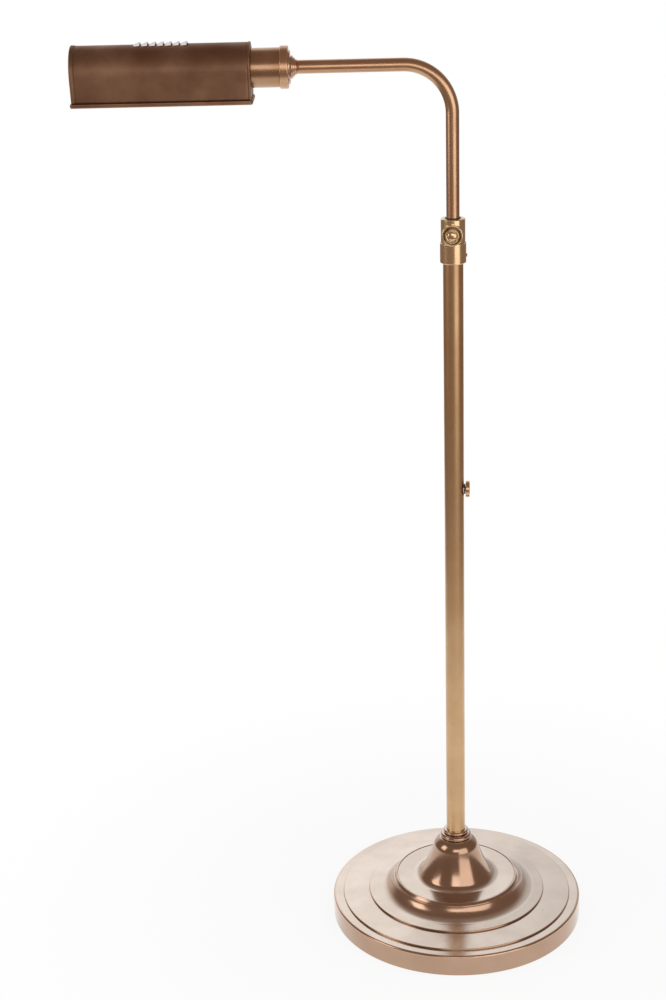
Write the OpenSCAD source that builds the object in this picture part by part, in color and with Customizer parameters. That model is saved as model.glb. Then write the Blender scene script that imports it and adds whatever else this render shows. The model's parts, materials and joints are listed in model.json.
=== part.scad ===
// Floor lamp: a stepped round base, a pole with a rotary switch, a clamp collar, and a bent
// arm that slides and swings in the pole and carries a trough shade that tilts about the arm.
// Millimetres. The origin is on the floor under the pole, +Z is up and the arm points to -X.

/* [Base] */
// Outer radius of the base pan
base_r = 150; // [142:1:180]
// Height of the pan's outer wall
base_wall_h = 25.5; // [20:0.5:34]
// Gap between the pan's rim and the floor
base_lift = 1; // [0.4:0.1:1.6]
// Thickness of the spun sheet of pan and bell
sheet_t = 1.2; // [0.8:0.1:1.6]
// Rounding of the pan's top edge
rim_round = 2.5; // [1:0.1:4]
// Width of the ledge from the edge to the first step
ledge_w = 12.4; // [8:0.1:16]
// Width of the deck between the two steps
deck_w = 31.6; // [26:0.1:34]
// Height of the first step
step1_h = 2; // [1.6:0.1:4]
// Rise of the deck between the steps towards the middle
deck_rise = 1.6; // [0.4:0.1:3]
// Height of the second step
step2_h = 2.2; // [1.6:0.1:4]
// Rise of the deck inside the second step towards the middle
inner_rise = 1; // [0.4:0.1:2]
// Rounding of the step edges
step_round = 0.7; // [0.3:0.1:1]
// Radius of the cove below the bell's lip
cove_r = 20; // [17:0.5:24]
// Rise of the cove
cove_h = 12.6; // [9:0.1:13]
// Height of the bell's lip above its seat
lip_h = 3.6; // [2.6:0.1:5]
// Width of the bell's lip
lip_w = 4.2; // [3.6:0.1:6]
// Width of the flat ring inside the lip
bell_flat_w = 18.8; // [14:0.1:24]
// Radius at which the bell's flare leaves the flat ring
flare_foot_r = 52; // [49:0.5:55]
// Radius of the bell's flare
flare_r = 12; // [10:0.5:14]
// Slope at which the flare runs into the hollow side
flare_slope = 58; // [54:1:62]
// Radius of the bell's hollow side
hollow_r = 118; // [105:1:125]
// Slope at which the hollow side runs into the shoulder
bell_slope = 76; // [74:1:80]
// Radius of the bell's shoulder
shoulder_r = 17; // [15:0.5:18.5]

/* [Weight and base fixing] */
// Thickness of the felt pad
felt_t = 2; // [1.6:0.1:3]
// Inset of the felt pad from the base's edge
felt_inset = 5; // [3:0.5:12]
// Thickness of the cast weight
weight_t = 10; // [9:0.5:14]
// Inset of the cast weight from the base's edge
weight_inset = 13; // [12:0.5:24]
// Width of the rib that carries the pan and bell
rib_w = 9; // [6:0.5:12]
// Radius of the weight's centre hub
hub_r = 16; // [12:0.5:24]
// Height of the weight's centre hub above its deck
hub_h = 16; // [6:0.5:20]
// Outer radius of the threaded nipples
nipple_r = 5; // [4.5:0.1:5.5]
// Bore radius of the threaded nipples
nipple_bore_r = 3.4; // [2.5:0.1:3.8]
// Width across flats of the base nut
base_nut_af = 17; // [15:0.5:19]
// Thickness of the base nut
base_nut_h = 5; // [4:0.1:5.4]
// Radius of the base washer
base_washer_r = 13; // [11:0.5:14]
// Thickness of the base washer
base_washer_t = 1.4; // [1:0.1:1.8]
// Height of the cord bush's axis above the floor
cord_z = 9; // [8.4:0.1:11]
// Bore radius of the cord bush
cord_bore_r = 3.7; // [3:0.1:4]
// Outer radius of the cord bush's barrel
cord_bush_r = 5.6; // [5:0.1:6]
// Radius of the cord bush's flanges
cord_flange_r = 7; // [6.4:0.1:7.2]
// Thickness of each flange of the cord bush
cord_flange_t = 1.6; // [1.2:0.1:2.2]

/* [Stem] */
// Radius of the neck ring's lower bead
neck_r = 18.5; // [17:0.1:21]
// Height of the neck ring's lower bead
bead1_h = 6; // [4:0.1:8]
// Radius of the neck ring's upper bead
neck_top_r = 15; // [13.6:0.1:16]
// Height of the neck ring's upper bead
bead2_h = 4.2; // [3.4:0.1:6]
// Outer diameter of the pole
pole_d = 22.2; // [21.6:0.1:23]
// Wall of the pole
pole_wall = 1; // [0.8:0.05:1.2]
// Length of the pole
pole_len = 724; // [640:1:800]
// Length of the threaded plug in the pole's foot
foot_len = 25; // [18:0.5:40]

/* [Clamp collar] */
// Diameter of the collar's skirt over the pole
skirt_d = 28.6; // [27.6:0.1:31]
// Height of the collar's skirt
skirt_h = 22; // [20:0.5:26]
// Diameter of the collar above its skirt
collar_d = 26.6; // [25.4:0.1:28]
// Height of the whole collar
collar_h = 49; // [46:0.5:60]
// Depth of the pole's socket in the collar
socket_h = 21; // [14:0.5:21.5]
// Bevel of the collar's edges
collar_bevel = 0.8; // [0.4:0.1:1.2]
// Height of the clamp screw's axis above the collar's foot
clamp_rise = 33; // [32:0.5:34]
// Turn of the clamp screw about the pole, from straight ahead
clamp_turn = -5; // [-40:1:40]
// Radius of the boss around the clamp screw
boss_r = 11.6; // [10.6:0.1:12.4]
// Reach of the boss from the pole's axis
boss_reach = 17.4; // [16:0.1:20]
// Radius of the recess in the boss
boss_recess_r = 9.4; // [9:0.1:10]
// Depth of the recess in the boss
boss_recess_h = 2.4; // [1.4:0.1:2.8]
// Radius of the clamp screw's thread
clamp_screw_r = 3; // [2.5:0.1:3.4]
// Length of the clamp shoe
shoe_len = 3.4; // [2.6:0.1:4]
// Radius of the clamp screw's head
clamp_head_r = 8.4; // [7.6:0.1:8.8]
// Thickness of the clamp screw's head
clamp_head_h = 4.6; // [3.6:0.1:6]
// Radius of the dome on the clamp screw's head
clamp_dome_r = 5.2; // [4:0.1:6]
// Outer radius of the liner bush in the collar's mouth
liner_r = 9; // [8.4:0.1:9.6]
// Length of the liner bush
liner_h = 10; // [6:0.5:10.5]
// Stand of the liner bush above the collar
liner_proud = 1; // [0.5:0.1:2]
// Height of the collar's set screw above the collar's foot
grub_rise = 8; // [5:0.5:12]
// Radius of the collar's set screw
grub_r = 1.7; // [1.2:0.1:2.2]
// Stand of the collar's set screw outside the collar
grub_proud = 1.1; // [0.6:0.1:2]

/* [Switch] */
// Height of the switch above the floor
switch_z = 547.5; // [420:0.5:556]
// Turn of the switch and the set screw about the pole, from the right-hand side
side_turn = -2; // [-40:1:40]
// Height of the switch body
switch_body_h = 26; // [20:0.5:30]
// Width of the switch body
switch_body_w = 12; // [10:0.5:13]
// Depth of the switch body
switch_body_d = 13; // [11:0.5:14]
// Outer radius of the switch's threaded bushing
bushing_r = 4.9; // [4.5:0.1:5.2]
// Radius of the switch shaft
shaft_r = 3; // [2.5:0.1:3.2]
// Radius of the round switch nut
switch_nut_r = 5.8; // [5.6:0.1:6.4]
// Thickness of the round switch nut
switch_nut_h = 1.5; // [1.2:0.1:2.2]
// Radius of the switch knob
knob_r = 9.3; // [8.5:0.1:11]
// Thickness of the switch knob
knob_h = 4.5; // [4:0.1:7]
// Depth of the shaft's seat in the knob
knob_seat_h = 3.4; // [2.8:0.1:3.6]
// Radius of the knob's set screw
knob_grub_r = 1.1; // [0.8:0.1:1.2]

/* [Arm] */
// Outer diameter of the arm tube
tube_d = 14.3; // [13.9:0.1:14.8]
// Wall of the arm tube
tube_wall = 1; // [0.8:0.05:1.2]
// Length of upright tube that shows above the collar
rise_h = 113; // [104:1:200]
// Length of upright tube below the collar's top
tube_in = 198; // [180:1:204]
// Centre-line radius of the arm's bend
bend_r = 52; // [40:1:70]
// Distance from the pole's axis to the arm tube's end
arm_reach = 168; // [140:1:240]
// Height of the guide bush in the pole
guide_h = 30; // [20:1:36]
// Height of each stop ring
stop_h = 3; // [2:0.1:4]
// Radial width of each stop ring
stop_w = 2; // [1.2:0.1:2.4]
// Height of the lower stop ring above the tube's end
stop_rise = 2; // [1:0.5:8]
// Length of the threaded bush in the arm tube's end
end_bush_len = 18; // [10:0.5:30]

/* [Swivel] */
// Length of the ferrule over the arm tube's end
ferrule_over = 4; // [3:0.1:8]
// Length of the ferrule beyond the arm tube's end
ferrule_nose = 2; // [1.6:0.1:4]
// Radius of the ferrule's small end
ferrule_r1 = 8.2; // [7.9:0.1:8.6]
// Radius of the ferrule's middle ring
ferrule_r2 = 10; // [9.2:0.1:10.6]
// Radius of the ferrule's large end
ferrule_r3 = 12; // [11:0.1:13]
// Radius of the friction washer
friction_r = 10; // [8:0.1:11]
// Thickness of the friction washer
friction_t = 0.6; // [0.4:0.1:1]
// Thickness of the spring washer
spring_t = 0.8; // [0.5:0.1:1]
// Radius of the spring washer
spring_r = 8.2; // [7:0.1:8.4]
// Width across flats of the swivel nut
swivel_nut_af = 14; // [13:0.1:14.4]
// Thickness of the swivel nut
swivel_nut_h = 4; // [3:0.1:5]

/* [Lampholder] */
// Radius of the back plate's step
step_plate_r = 17.5; // [15:0.1:19]
// Thickness of the back plate's step
step_plate_h = 1.8; // [1:0.1:3]
// Radius of the back plate's flange
flange_r = 22.4; // [21.6:0.1:24]
// Length of the back plate's flange
flange_h = 8.8; // [7:0.1:11]
// Thickness of the back plate's wall
back_wall = 5; // [4:0.1:5.6]
// Radius of the lampholder cup
cup_r = 20.7; // [20.2:0.1:21.2]
// Wall of the lampholder cup
cup_wall = 1; // [0.8:0.1:1.2]
// Length of cup that shows between flange and shade
cup_len = 30.6; // [27:0.1:40]
// Radius of the lampholder's body
holder_r = 17; // [16.4:0.1:17.4]
// Length of the lampholder's body
holder_len = 50; // [46:0.5:54]
// Length of the lampholder's body inside the shade
holder_out = 26; // [24:0.5:30]
// Thickness of the lampholder's floor
holder_floor = 16; // [12:0.5:18]
// Inner radius of the lampholder's screw shell
shell_r = 13.5; // [13.4:0.05:13.7]
// Wall of the lampholder's screw shell
shell_wall = 0.5; // [0.4:0.05:0.8]
// Radius of the centre contact
contact_r = 3.8; // [3:0.1:4.4]
// Stand of the centre contact above the lampholder's floor
contact_h = 2.4; // [2.2:0.1:3]
// Radius of the lampholder screws
holder_screw_r = 1.5; // [1.2:0.1:1.6]
// Radius of the circle that the lampholder screws lie on
holder_screw_at = 10.6; // [10.5:0.05:10.7]
// Radius of the lampholder screws' heads
holder_head_r = 2.6; // [2:0.1:2.7]
// Height of the lampholder screws' heads
holder_head_h = 1.8; // [1.2:0.1:2]
// Outer radius of the shade ring
shade_ring_r = 21.5; // [20:0.1:23]
// Thickness of the shade ring
shade_ring_h = 4.5; // [3:0.1:6]

/* [Bulb] */
// Radius of the bulb's cap
cap_r = 13.2; // [13:0.05:13.25]
// Length of the bulb's cap
cap_len = 27; // [25:0.5:30]
// Radius of the bulb's glass tube
bulb_r = 15.5; // [14:0.1:18]
// Length of the bulb's glass beyond its cap
bulb_len = 100; // [70:1:120]
// Wall of the bulb's glass
glass_t = 1; // [0.6:0.1:1.4]

/* [Shade] */
// Length of the shade
shade_len = 190; // [170:1:240]
// Radius of the shade's round top about the arm's axis
shade_r = 27; // [26:0.1:32]
// Inward lean of the shade's sides, in degrees
shade_lean = 10; // [4:0.5:14]
// Drop of the shell's edge below the arm's axis
shade_drop = 31; // [28:0.1:40]
// Thickness of the shade's sheet
shade_t = 0.9; // [0.6:0.1:1.4]
// Stand of the end caps' flanges outside the shell
cap_proud = 0.7; // [0.5:0.1:1.2]
// Width of the far end cap's flange
far_flange_w = 5.5; // [3:0.1:8]
// Width of the near end cap's flange
near_flange_w = 2.5; // [1.5:0.1:5]
// Height of the rolled hem
hem_h = 4.2; // [3.6:0.1:8]
// Thickness of the rolled hem
hem_w = 3; // [2.4:0.1:4]
// Stand of the hem outside the shell
hem_proud = 1.6; // [1:0.1:1.8]
// Number of louvres
louvre_count = 7; // [3:1:9]
// Pitch of the louvres
louvre_pitch = 8.3; // [7.6:0.1:11]
// Length of each louvre along the shade
louvre_w = 7; // [5:0.1:7.4]
// Half of each louvre's width across the shade
louvre_half = 8; // [6:0.5:16]
// Rise of each louvre's open edge
louvre_rise = 2.6; // [1.6:0.1:4]

/* [Clearances] */
// Radial clearance of parts that turn or slide in each other
run_gap = 0.06; // [0.03:0.01:0.09]
// Radial clearance of parts that are fixed in each other
seat_gap = 0.03; // [0.01:0.01:0.06]
// End clearance between parts that turn against each other
end_gap = 0.1; // [0.05:0.05:0.3]

/* [Hidden] */
$fn = 96;
arc_steps = 14;
past = 1;

// Heights and radii of the base pan
deck1_z = base_lift + base_wall_h;
deck2_z = deck1_z + step1_h;
deck2_in_z = deck2_z + deck_rise;
deck3_z = deck2_in_z + step2_h;
deck3_in_z = deck3_z + inner_rise;
seat_z = deck3_in_z + cove_h;
step1_r = base_r - ledge_w;
step2_r = step1_r - deck_w;
cove_sweep = acos(1 - cove_h / cove_r);
cove_under = acos((cove_r - cove_h + sheet_t) / (cove_r + sheet_t));
lip_gap = 0.8;

// Heights and radii of the bell
lip_r = flare_foot_r + bell_flat_w + lip_w;
lip_z = seat_z + lip_h;
lip_foot = 1;
lip_land = 1.8;
lip_bevel = lip_w - lip_land;
lip_over = 0.4;
groove_w = 0.7;
groove_h = 0.6;
bell_z = lip_z - lip_over;
cove_in = lip_r + lip_gap;
cove_out = cove_in + cove_r * sin(cove_sweep);
flare_z = bell_z + flare_r;
hollow_x = flare_foot_r + (hollow_r - flare_r) * sin(flare_slope);
hollow_z = flare_z + (hollow_r - flare_r) * cos(flare_slope);
shoulder_x = hollow_x - (hollow_r + shoulder_r) * sin(bell_slope);
shoulder_z = hollow_z - (hollow_r + shoulder_r) * cos(bell_slope);
shoulder_end = acos((neck_r - shoulder_x) / shoulder_r);
shoulder_under = asin((shoulder_r * sin(shoulder_end) - sheet_t) / (shoulder_r - sheet_t));
neck_z = shoulder_z + shoulder_r * sin(shoulder_end);

// Heights and radii of the weight and its fixing
weight_r = base_r - weight_inset;
weight_z = felt_t + weight_t;
rib_out = lip_r - sheet_t;
rib_in = rib_out - rib_w;
rib_z = seat_z - sheet_t;
nut_room = 0.5;
base_nut_z = felt_t + nut_room;
base_washer_z = base_nut_z + base_nut_h;
recess_z = base_washer_z + base_washer_t;
washer_room = 1.5;
recess_r = base_washer_r + washer_room;
bore_gap = 0.3;
cord_gap = 0.1;
cord_tail = 4;
channel_room = 0.5;
channel_w = 2 * (cord_bore_r + channel_room);
channel_h = recess_z - felt_t;
cord_inner = sqrt(pow(base_r - sheet_t, 2) - pow(cord_flange_r, 2)) - cord_gap;
cord_start = cord_inner - cord_flange_t - cord_tail;

// Heights and radii of the stem
pole_r = pole_d / 2;
pole_bore = pole_r - pole_wall;
bead_gap = 0.6;
bead_waist = 2.2;
neck_top = neck_z + bead1_h + bead_gap + bead2_h;
pole_floor = 1;
pole_z = neck_z + bead1_h + bead_gap + pole_floor;
pole_top = pole_z + pole_len;
nipple_short = 3;
foot_grip = foot_len - nipple_short;

// Heights and radii of the collar and the clamp
collar_z = pole_top - socket_h;
collar_top = collar_z + collar_h;
skirt_r = skirt_d / 2;
collar_r = collar_d / 2;
clamp_z = collar_z + clamp_rise;
grub_z = collar_z + grub_rise;
tube_r = tube_d / 2;
tube_bore = tube_r - tube_wall;
shoe_gap = 2 * run_gap;
shoe_end = tube_r + shoe_gap + shoe_len;
shank_r = clamp_screw_r - run_gap;
head_gap = 0.8;
head_z = boss_reach - boss_recess_h + head_gap;
head_round = 1.2;
dome_h = 2.2;
groove_depth = 0.9;
grub_slot_h = 0.7;

// Places of the switch, counted out from the pole's axis
switch_face = switch_body_d / 2;
nut_z = pole_r + end_gap;
knob_gap = 0.3;
knob_z = nut_z + switch_nut_h + knob_gap;
knob_bevel = 0.6;
shaft_end = knob_z + knob_seat_h;
knob_grub_sunk = 0.8;

// Heights of the riser
bend_z = collar_top + rise_h;
arm_z = bend_z + bend_r;
tube_foot = collar_top - tube_in;
stop1_z = tube_foot + stop_rise;
guide_z = stop1_z + stop_h + end_gap;
stop2_z = guide_z + guide_h + end_gap;

// Places along the arm, counted out from the pole's axis
ferrule_t = arm_reach - ferrule_over;
nose_t = arm_reach + ferrule_nose;
friction_at = nose_t + end_gap;
back_t = friction_at + friction_t + end_gap;
flange_t = back_t + step_plate_h;
back_face = back_t + back_wall;
flange_end = flange_t + flange_h;
edge_bevel = 0.7;
spring_at = back_face + end_gap;
swivel_nut_t = spring_at + spring_t;
swivel_past = 3;
swivel_len = end_bush_len + ferrule_nose + friction_t + back_wall + spring_t + swivel_nut_h
    + swivel_past;
shade_near = flange_end + cup_len;
shade_far = shade_near + shade_len;
holder_end = shade_near + holder_out;
holder_t = holder_end - holder_len;
holder_floor_t = holder_t + holder_floor;
holder_rim_h = 4;
cup_bore = cup_r - cup_wall;
shell_out = shell_r + shell_wall;
shell_short = 2;
screw_bite = 3;

// Places of the bulb along the arm
tip_r = 4.6;
tip_h = 1.6;
bulb_tip = holder_floor_t + contact_h + end_gap;
cap_skirt = 5;
cap_end = bulb_tip + tip_h + cap_len;
cap_wall = 0.6;
glass_in = 12;
glass_foot = cap_end - glass_in;
neck_out = cap_r - cap_wall - seat_gap;
glass_swell = 12;
neck_len = 3;
neck_end = cap_end + neck_len;
bulb_tube = neck_end + glass_swell;
bulb_end = cap_end + bulb_len;

// The shade's section
cap_t = shade_t;
hem_out = side_foot(shade_r, shade_drop) + hem_proud;
louvre_mid = (shade_near + shade_far) / 2;
louvre_lip = 0.8;
hood_turn = 60;
hood_sink = 0.2;
hood_t = shade_t - 2 * hood_sink;

// Points of an arc about a centre, from one angle to another
function arc(at, r, from, to) =
    [for (i = [0:arc_steps]) let (a = from + (to - from) * i / arc_steps) at + r * [cos(a), sin(a)]];

// An arc's points without the first, where it goes on from the line before it
function run_on(points) = [for (i = [1 : len(points) - 1]) points[i]];

// A ring about Z, made as one turned shape
module ring(bore, outer, h) {
    rotate_extrude() translate([bore, 0]) square([outer - bore, h]);
}

// A hexagon nut about Z with its bore
module hex_nut(af, bore, h) {
    difference() {
        cylinder(d = af / cos(30), h = h, $fn = 6);
        translate([0, 0, -past]) cylinder(r = bore, h = h + 2 * past);
    }
}

// Puts Z out along the arm, X up, at a distance from the pole's axis
module along_arm(t) {
    translate([0, 0, arm_z]) rotate([0, -90, 0]) translate([0, 0, t]) children();
}

// Puts Z out of the clamp boss, Y up
module at_clamp() {
    translate([0, 0, clamp_z]) rotate([0, 0, clamp_turn]) rotate([90, 0, 0]) children();
}

// Puts Z out of the pole's switch side, X down
module at_side(z) {
    translate([0, 0, z]) rotate([0, 0, side_turn]) rotate([0, 90, 0]) children();
}

// Outline of the base pan: wall, ledge, two steps, cove and seat, then back along the inside
module base_pan() {
    color("peru") difference() {
        rotate_extrude() polygon(concat(
            [[base_r, base_lift]],
            arc([base_r - rim_round, deck1_z - rim_round], rim_round, 0, 90),
            [[step1_r, deck1_z]],
            arc([step1_r - step_round, deck2_z - step_round], step_round, 0, 90),
            [[step2_r, deck2_in_z]],
            arc([step2_r - step_round, deck3_z - step_round], step_round, 0, 90),
            arc([cove_out, deck3_in_z + cove_r], cove_r, -90, -90 - cove_sweep),
            [[rib_in, seat_z], [rib_in, rib_z]],
            arc([cove_out, deck3_in_z + cove_r], cove_r + sheet_t, -90 - cove_under, -90),
            [[step2_r - sheet_t, deck3_z - sheet_t], [step2_r - sheet_t, deck2_in_z - sheet_t],
                [step1_r - sheet_t, deck2_z - sheet_t], [step1_r - sheet_t, deck1_z - sheet_t],
                [base_r - sheet_t, deck1_z - sheet_t], [base_r - sheet_t, base_lift]]));
        translate([0, base_r, cord_z]) rotate([90, 0, 0])
            cylinder(r = cord_bush_r + cord_gap, h = 2 * (base_r - cord_inner), center = true);
        translate([-cord_bush_r - cord_gap, cord_inner, 0])
            cube([2 * (cord_bush_r + cord_gap), base_r, cord_z]);
    }
}

// Outline of the bell: lip, groove, flat, flare, hollow side and shoulder, then back along the inside
module base_bell() {
    color("peru") rotate_extrude() polygon(concat(
        [[lip_r, seat_z], [lip_r, seat_z + lip_foot], [lip_r - lip_bevel, lip_z],
            [lip_r - lip_w + groove_w, lip_z], [lip_r - lip_w + groove_w, bell_z - groove_h],
            [lip_r - lip_w, bell_z - groove_h], [lip_r - lip_w, bell_z]],
        arc([flare_foot_r, flare_z], flare_r, -90, -90 - flare_slope),
        run_on(arc([hollow_x, hollow_z], hollow_r, -90 - flare_slope, -90 - bell_slope)),
        run_on(arc([shoulder_x, shoulder_z], shoulder_r, 90 - bell_slope, shoulder_end)),
        [[nipple_r + bore_gap, neck_z], [nipple_r + bore_gap, neck_z - sheet_t]],
        arc([shoulder_x, shoulder_z], shoulder_r - sheet_t, shoulder_under, 90 - bell_slope),
        run_on(arc([hollow_x, hollow_z], hollow_r + sheet_t, -90 - bell_slope, -90 - flare_slope)),
        run_on(arc([flare_foot_r, flare_z], flare_r + sheet_t, -90 - flare_slope, -90)),
        [[lip_r - sheet_t - lip_bevel, bell_z - sheet_t], [lip_r - sheet_t, seat_z + lip_foot / 2],
            [lip_r - sheet_t, seat_z]]));
}

module base_weight() {
    color("dimgray") difference() {
        rotate_extrude() polygon([[nipple_r + bore_gap, recess_z], [recess_r, recess_z],
            [recess_r, felt_t], [weight_r, felt_t], [weight_r, weight_z], [rib_out, weight_z],
            [rib_out, rib_z], [rib_in, rib_z], [rib_in, weight_z], [hub_r, weight_z],
            [hub_r, weight_z + hub_h], [nipple_r + bore_gap, weight_z + hub_h]]);
        translate([-channel_w / 2, recess_r - past, felt_t - past])
            cube([channel_w, weight_r, channel_h + past]);
    }
}

module base_felt() {
    color("darkolivegreen") cylinder(r = base_r - felt_inset, h = felt_t);
}

module base_nipple() {
    color("goldenrod") translate([0, 0, base_nut_z])
        ring(nipple_bore_r, nipple_r, pole_z + foot_grip - base_nut_z);
}

module base_nut() {
    color("silver") translate([0, 0, base_nut_z])
        hex_nut(base_nut_af, nipple_r + seat_gap, base_nut_h);
}

module base_washer() {
    color("silver") translate([0, 0, base_washer_z])
        ring(nipple_r + bore_gap, base_washer_r, base_washer_t);
}

// Flanged bush in the notch of the rim, with a plain tail inside
module cord_bush() {
    color("saddlebrown") translate([0, cord_start, cord_z]) rotate([-90, 0, 0])
        rotate_extrude() polygon([[cord_bore_r, 0], [cord_bush_r, 0], [cord_bush_r, cord_tail],
            [cord_flange_r, cord_tail], [cord_flange_r, cord_tail + cord_flange_t],
            [cord_bush_r, cord_tail + cord_flange_t], [cord_bush_r, base_r + cord_gap - cord_start],
            [cord_flange_r, base_r + cord_gap - cord_start],
            [cord_flange_r, base_r + cord_gap + cord_flange_t - cord_start],
            [cord_bore_r, base_r + cord_gap + cord_flange_t - cord_start]]);
}

// Two half-round beads with a socket for the pole
module neck_ring() {
    color("goldenrod") rotate_extrude() polygon(concat(
        [[nipple_r + bore_gap, neck_z]],
        arc([neck_r - bead1_h / 2, neck_z + bead1_h / 2], bead1_h / 2, -90, 90),
        [[neck_top_r - bead_waist, neck_z + bead1_h], [neck_top_r - bead_waist, neck_top - bead2_h]],
        arc([neck_top_r - bead2_h / 2, neck_top - bead2_h / 2], bead2_h / 2, -90, 90),
        [[pole_r + seat_gap, neck_top], [pole_r + seat_gap, pole_z], [nipple_r + bore_gap, pole_z]]));
}

module pole() {
    color("peru") difference() {
        translate([0, 0, pole_z]) ring(pole_bore, pole_r, pole_len);
        at_side(switch_z) cylinder(r = bushing_r + seat_gap, h = pole_r + past);
    }
}

module pole_foot() {
    color("goldenrod") translate([0, 0, pole_z])
        ring(nipple_r + seat_gap, pole_bore - seat_gap, foot_len);
}

// Skirt over the pole, body over the tube, and the boss with its recess
module clamp_collar() {
    color("peru") difference() {
        union() {
            translate([0, 0, collar_z]) rotate_extrude() polygon([[0, 0],
                [skirt_r - collar_bevel, 0], [skirt_r, collar_bevel], [skirt_r, skirt_h],
                [collar_r, skirt_h + collar_bevel], [collar_r, collar_h - collar_bevel],
                [collar_r - collar_bevel, collar_h], [0, collar_h]]);
            at_clamp() cylinder(r = boss_r, h = boss_reach);
        }
        translate([0, 0, collar_z - past]) cylinder(r = pole_r + seat_gap, h = socket_h + past);
        translate([0, 0, collar_z]) cylinder(r = tube_r + run_gap, h = collar_h + past);
        translate([0, 0, collar_top - liner_h])
            cylinder(r = liner_r + seat_gap, h = liner_h + past);
        at_clamp() cylinder(r = clamp_screw_r, h = boss_reach + past);
        at_clamp() translate([0, 0, boss_reach - boss_recess_h])
            cylinder(r = boss_recess_r, h = boss_recess_h + past);
        at_side(grub_z) cylinder(r = grub_r + seat_gap, h = skirt_r + past);
    }
}

module collar_liner() {
    color("black") translate([0, 0, collar_top - liner_h])
        ring(tube_r + run_gap, liner_r, liner_h + liner_proud);
}

// Set screw with a driver slot
module collar_grub() {
    slot_w = grub_r / 2;
    color("dimgray") at_side(grub_z) difference() {
        translate([0, 0, pole_r + seat_gap])
            cylinder(r = grub_r, h = skirt_r + grub_proud - pole_r - seat_gap);
        translate([-slot_w / 2, -2 * grub_r, skirt_r + grub_proud - grub_slot_h])
            cube([slot_w, 4 * grub_r, grub_proud]);
    }
}

// Slug with a hollow face that presses on the tube
module clamp_shoe() {
    color("goldenrod") difference() {
        at_clamp() cylinder(r = shank_r, h = shoe_end);
        translate([0, 0, collar_z]) cylinder(r = tube_r + shoe_gap, h = collar_h);
    }
}

// Shank, rounded head, groove and dome, turned in one piece
module clamp_screw() {
    color("peru") at_clamp() rotate_extrude() polygon(concat(
        [[0, shoe_end + seat_gap], [shank_r, shoe_end + seat_gap], [shank_r, head_z],
            [clamp_head_r, head_z]],
        arc([clamp_head_r - head_round, head_z + clamp_head_h - head_round], head_round, 0, 90),
        [[clamp_dome_r + groove_depth, head_z + clamp_head_h],
            [clamp_dome_r, head_z + clamp_head_h - groove_depth]],
        [for (i = [1:arc_steps]) let (a = 90 * i / arc_steps)
            [clamp_dome_r * cos(a), head_z + clamp_head_h - groove_depth + dome_h * sin(a)]]));
}

module switch_body() {
    color("darkslategray") at_side(switch_z)
        translate([-switch_body_h / 2, -switch_body_w / 2, -switch_body_d / 2])
            cube([switch_body_h, switch_body_w, switch_body_d]);
}

module switch_bushing() {
    color("silver") at_side(switch_z) translate([0, 0, switch_face])
        ring(shaft_r + run_gap, bushing_r, nut_z + switch_nut_h - switch_face);
}

module switch_nut() {
    color("black") at_side(switch_z) translate([0, 0, nut_z])
        ring(bushing_r + seat_gap, switch_nut_r, switch_nut_h);
}

module switch_shaft() {
    color("silver") at_side(switch_z) translate([0, 0, switch_face + end_gap])
        cylinder(r = shaft_r, h = shaft_end - seat_gap - switch_face - end_gap);
}

// Round disc with bevelled edges, a blind seat and a side hole for its set screw
module switch_knob() {
    color("peru") at_side(switch_z) difference() {
        translate([0, 0, knob_z]) rotate_extrude() polygon([[0, 0], [knob_r - knob_bevel, 0],
            [knob_r, knob_bevel], [knob_r, knob_h - knob_bevel], [knob_r - knob_bevel, knob_h],
            [0, knob_h]]);
        translate([0, 0, knob_z - past]) cylinder(r = shaft_r + seat_gap, h = knob_seat_h + past);
        translate([0, 0, knob_z + knob_h / 2]) rotate([0, -90, 0])
            cylinder(r = knob_grub_r + seat_gap, h = knob_r + past);
    }
}

module knob_grub() {
    color("dimgray") at_side(switch_z) translate([0, 0, knob_z + knob_h / 2]) rotate([0, -90, 0])
        translate([0, 0, shaft_r + end_gap])
            cylinder(r = knob_grub_r, h = knob_r - knob_grub_sunk - shaft_r - end_gap);
}

module guide_bush() {
    color("ivory") translate([0, 0, guide_z]) ring(tube_r + run_gap, pole_bore - run_gap, guide_h);
}

// Upright, quarter bend and level run of one tube at a given radius
module bent_rod(r, over) {
    translate([0, 0, tube_foot - over]) cylinder(r = r, h = bend_z - tube_foot + over);
    translate([-bend_r, 0, bend_z]) rotate([90, 0, 0])
        rotate_extrude(angle = 90) translate([bend_r, 0]) circle(r = r);
    along_arm(bend_r) cylinder(r = r, h = arm_reach - bend_r + over);
}

module arm_tube() {
    color("peru") difference() {
        bent_rod(tube_r, 0);
        bent_rod(tube_bore, past);
    }
}

module stop_rings() {
    color("goldenrod") for (z = [stop1_z, stop2_z])
        translate([0, 0, z]) ring(tube_r + seat_gap, tube_r + stop_w, stop_h);
}

module end_bush() {
    color("goldenrod") along_arm(arm_reach - end_bush_len)
        ring(nipple_r + seat_gap, tube_bore - seat_gap, end_bush_len);
}

// Three rings that step up from the tube to the swivel
module ferrule() {
    ring_h = (ferrule_over + ferrule_nose) / 3;
    color("peru") along_arm(ferrule_t) rotate_extrude() polygon([
        [tube_r + seat_gap, 0], [ferrule_r1, 0], [ferrule_r1, ring_h], [ferrule_r2, ring_h],
        [ferrule_r2, 2 * ring_h], [ferrule_r3, 2 * ring_h], [ferrule_r3, 3 * ring_h],
        [nipple_r + seat_gap, 3 * ring_h], [nipple_r + seat_gap, ferrule_over],
        [tube_r + seat_gap, ferrule_over]]);
}

module swivel_nipple() {
    color("goldenrod") along_arm(arm_reach - end_bush_len)
        ring(nipple_bore_r, nipple_r, swivel_len);
}

module friction_washer() {
    color("dimgray") along_arm(friction_at) ring(nipple_r + seat_gap, friction_r, friction_t);
}

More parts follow.
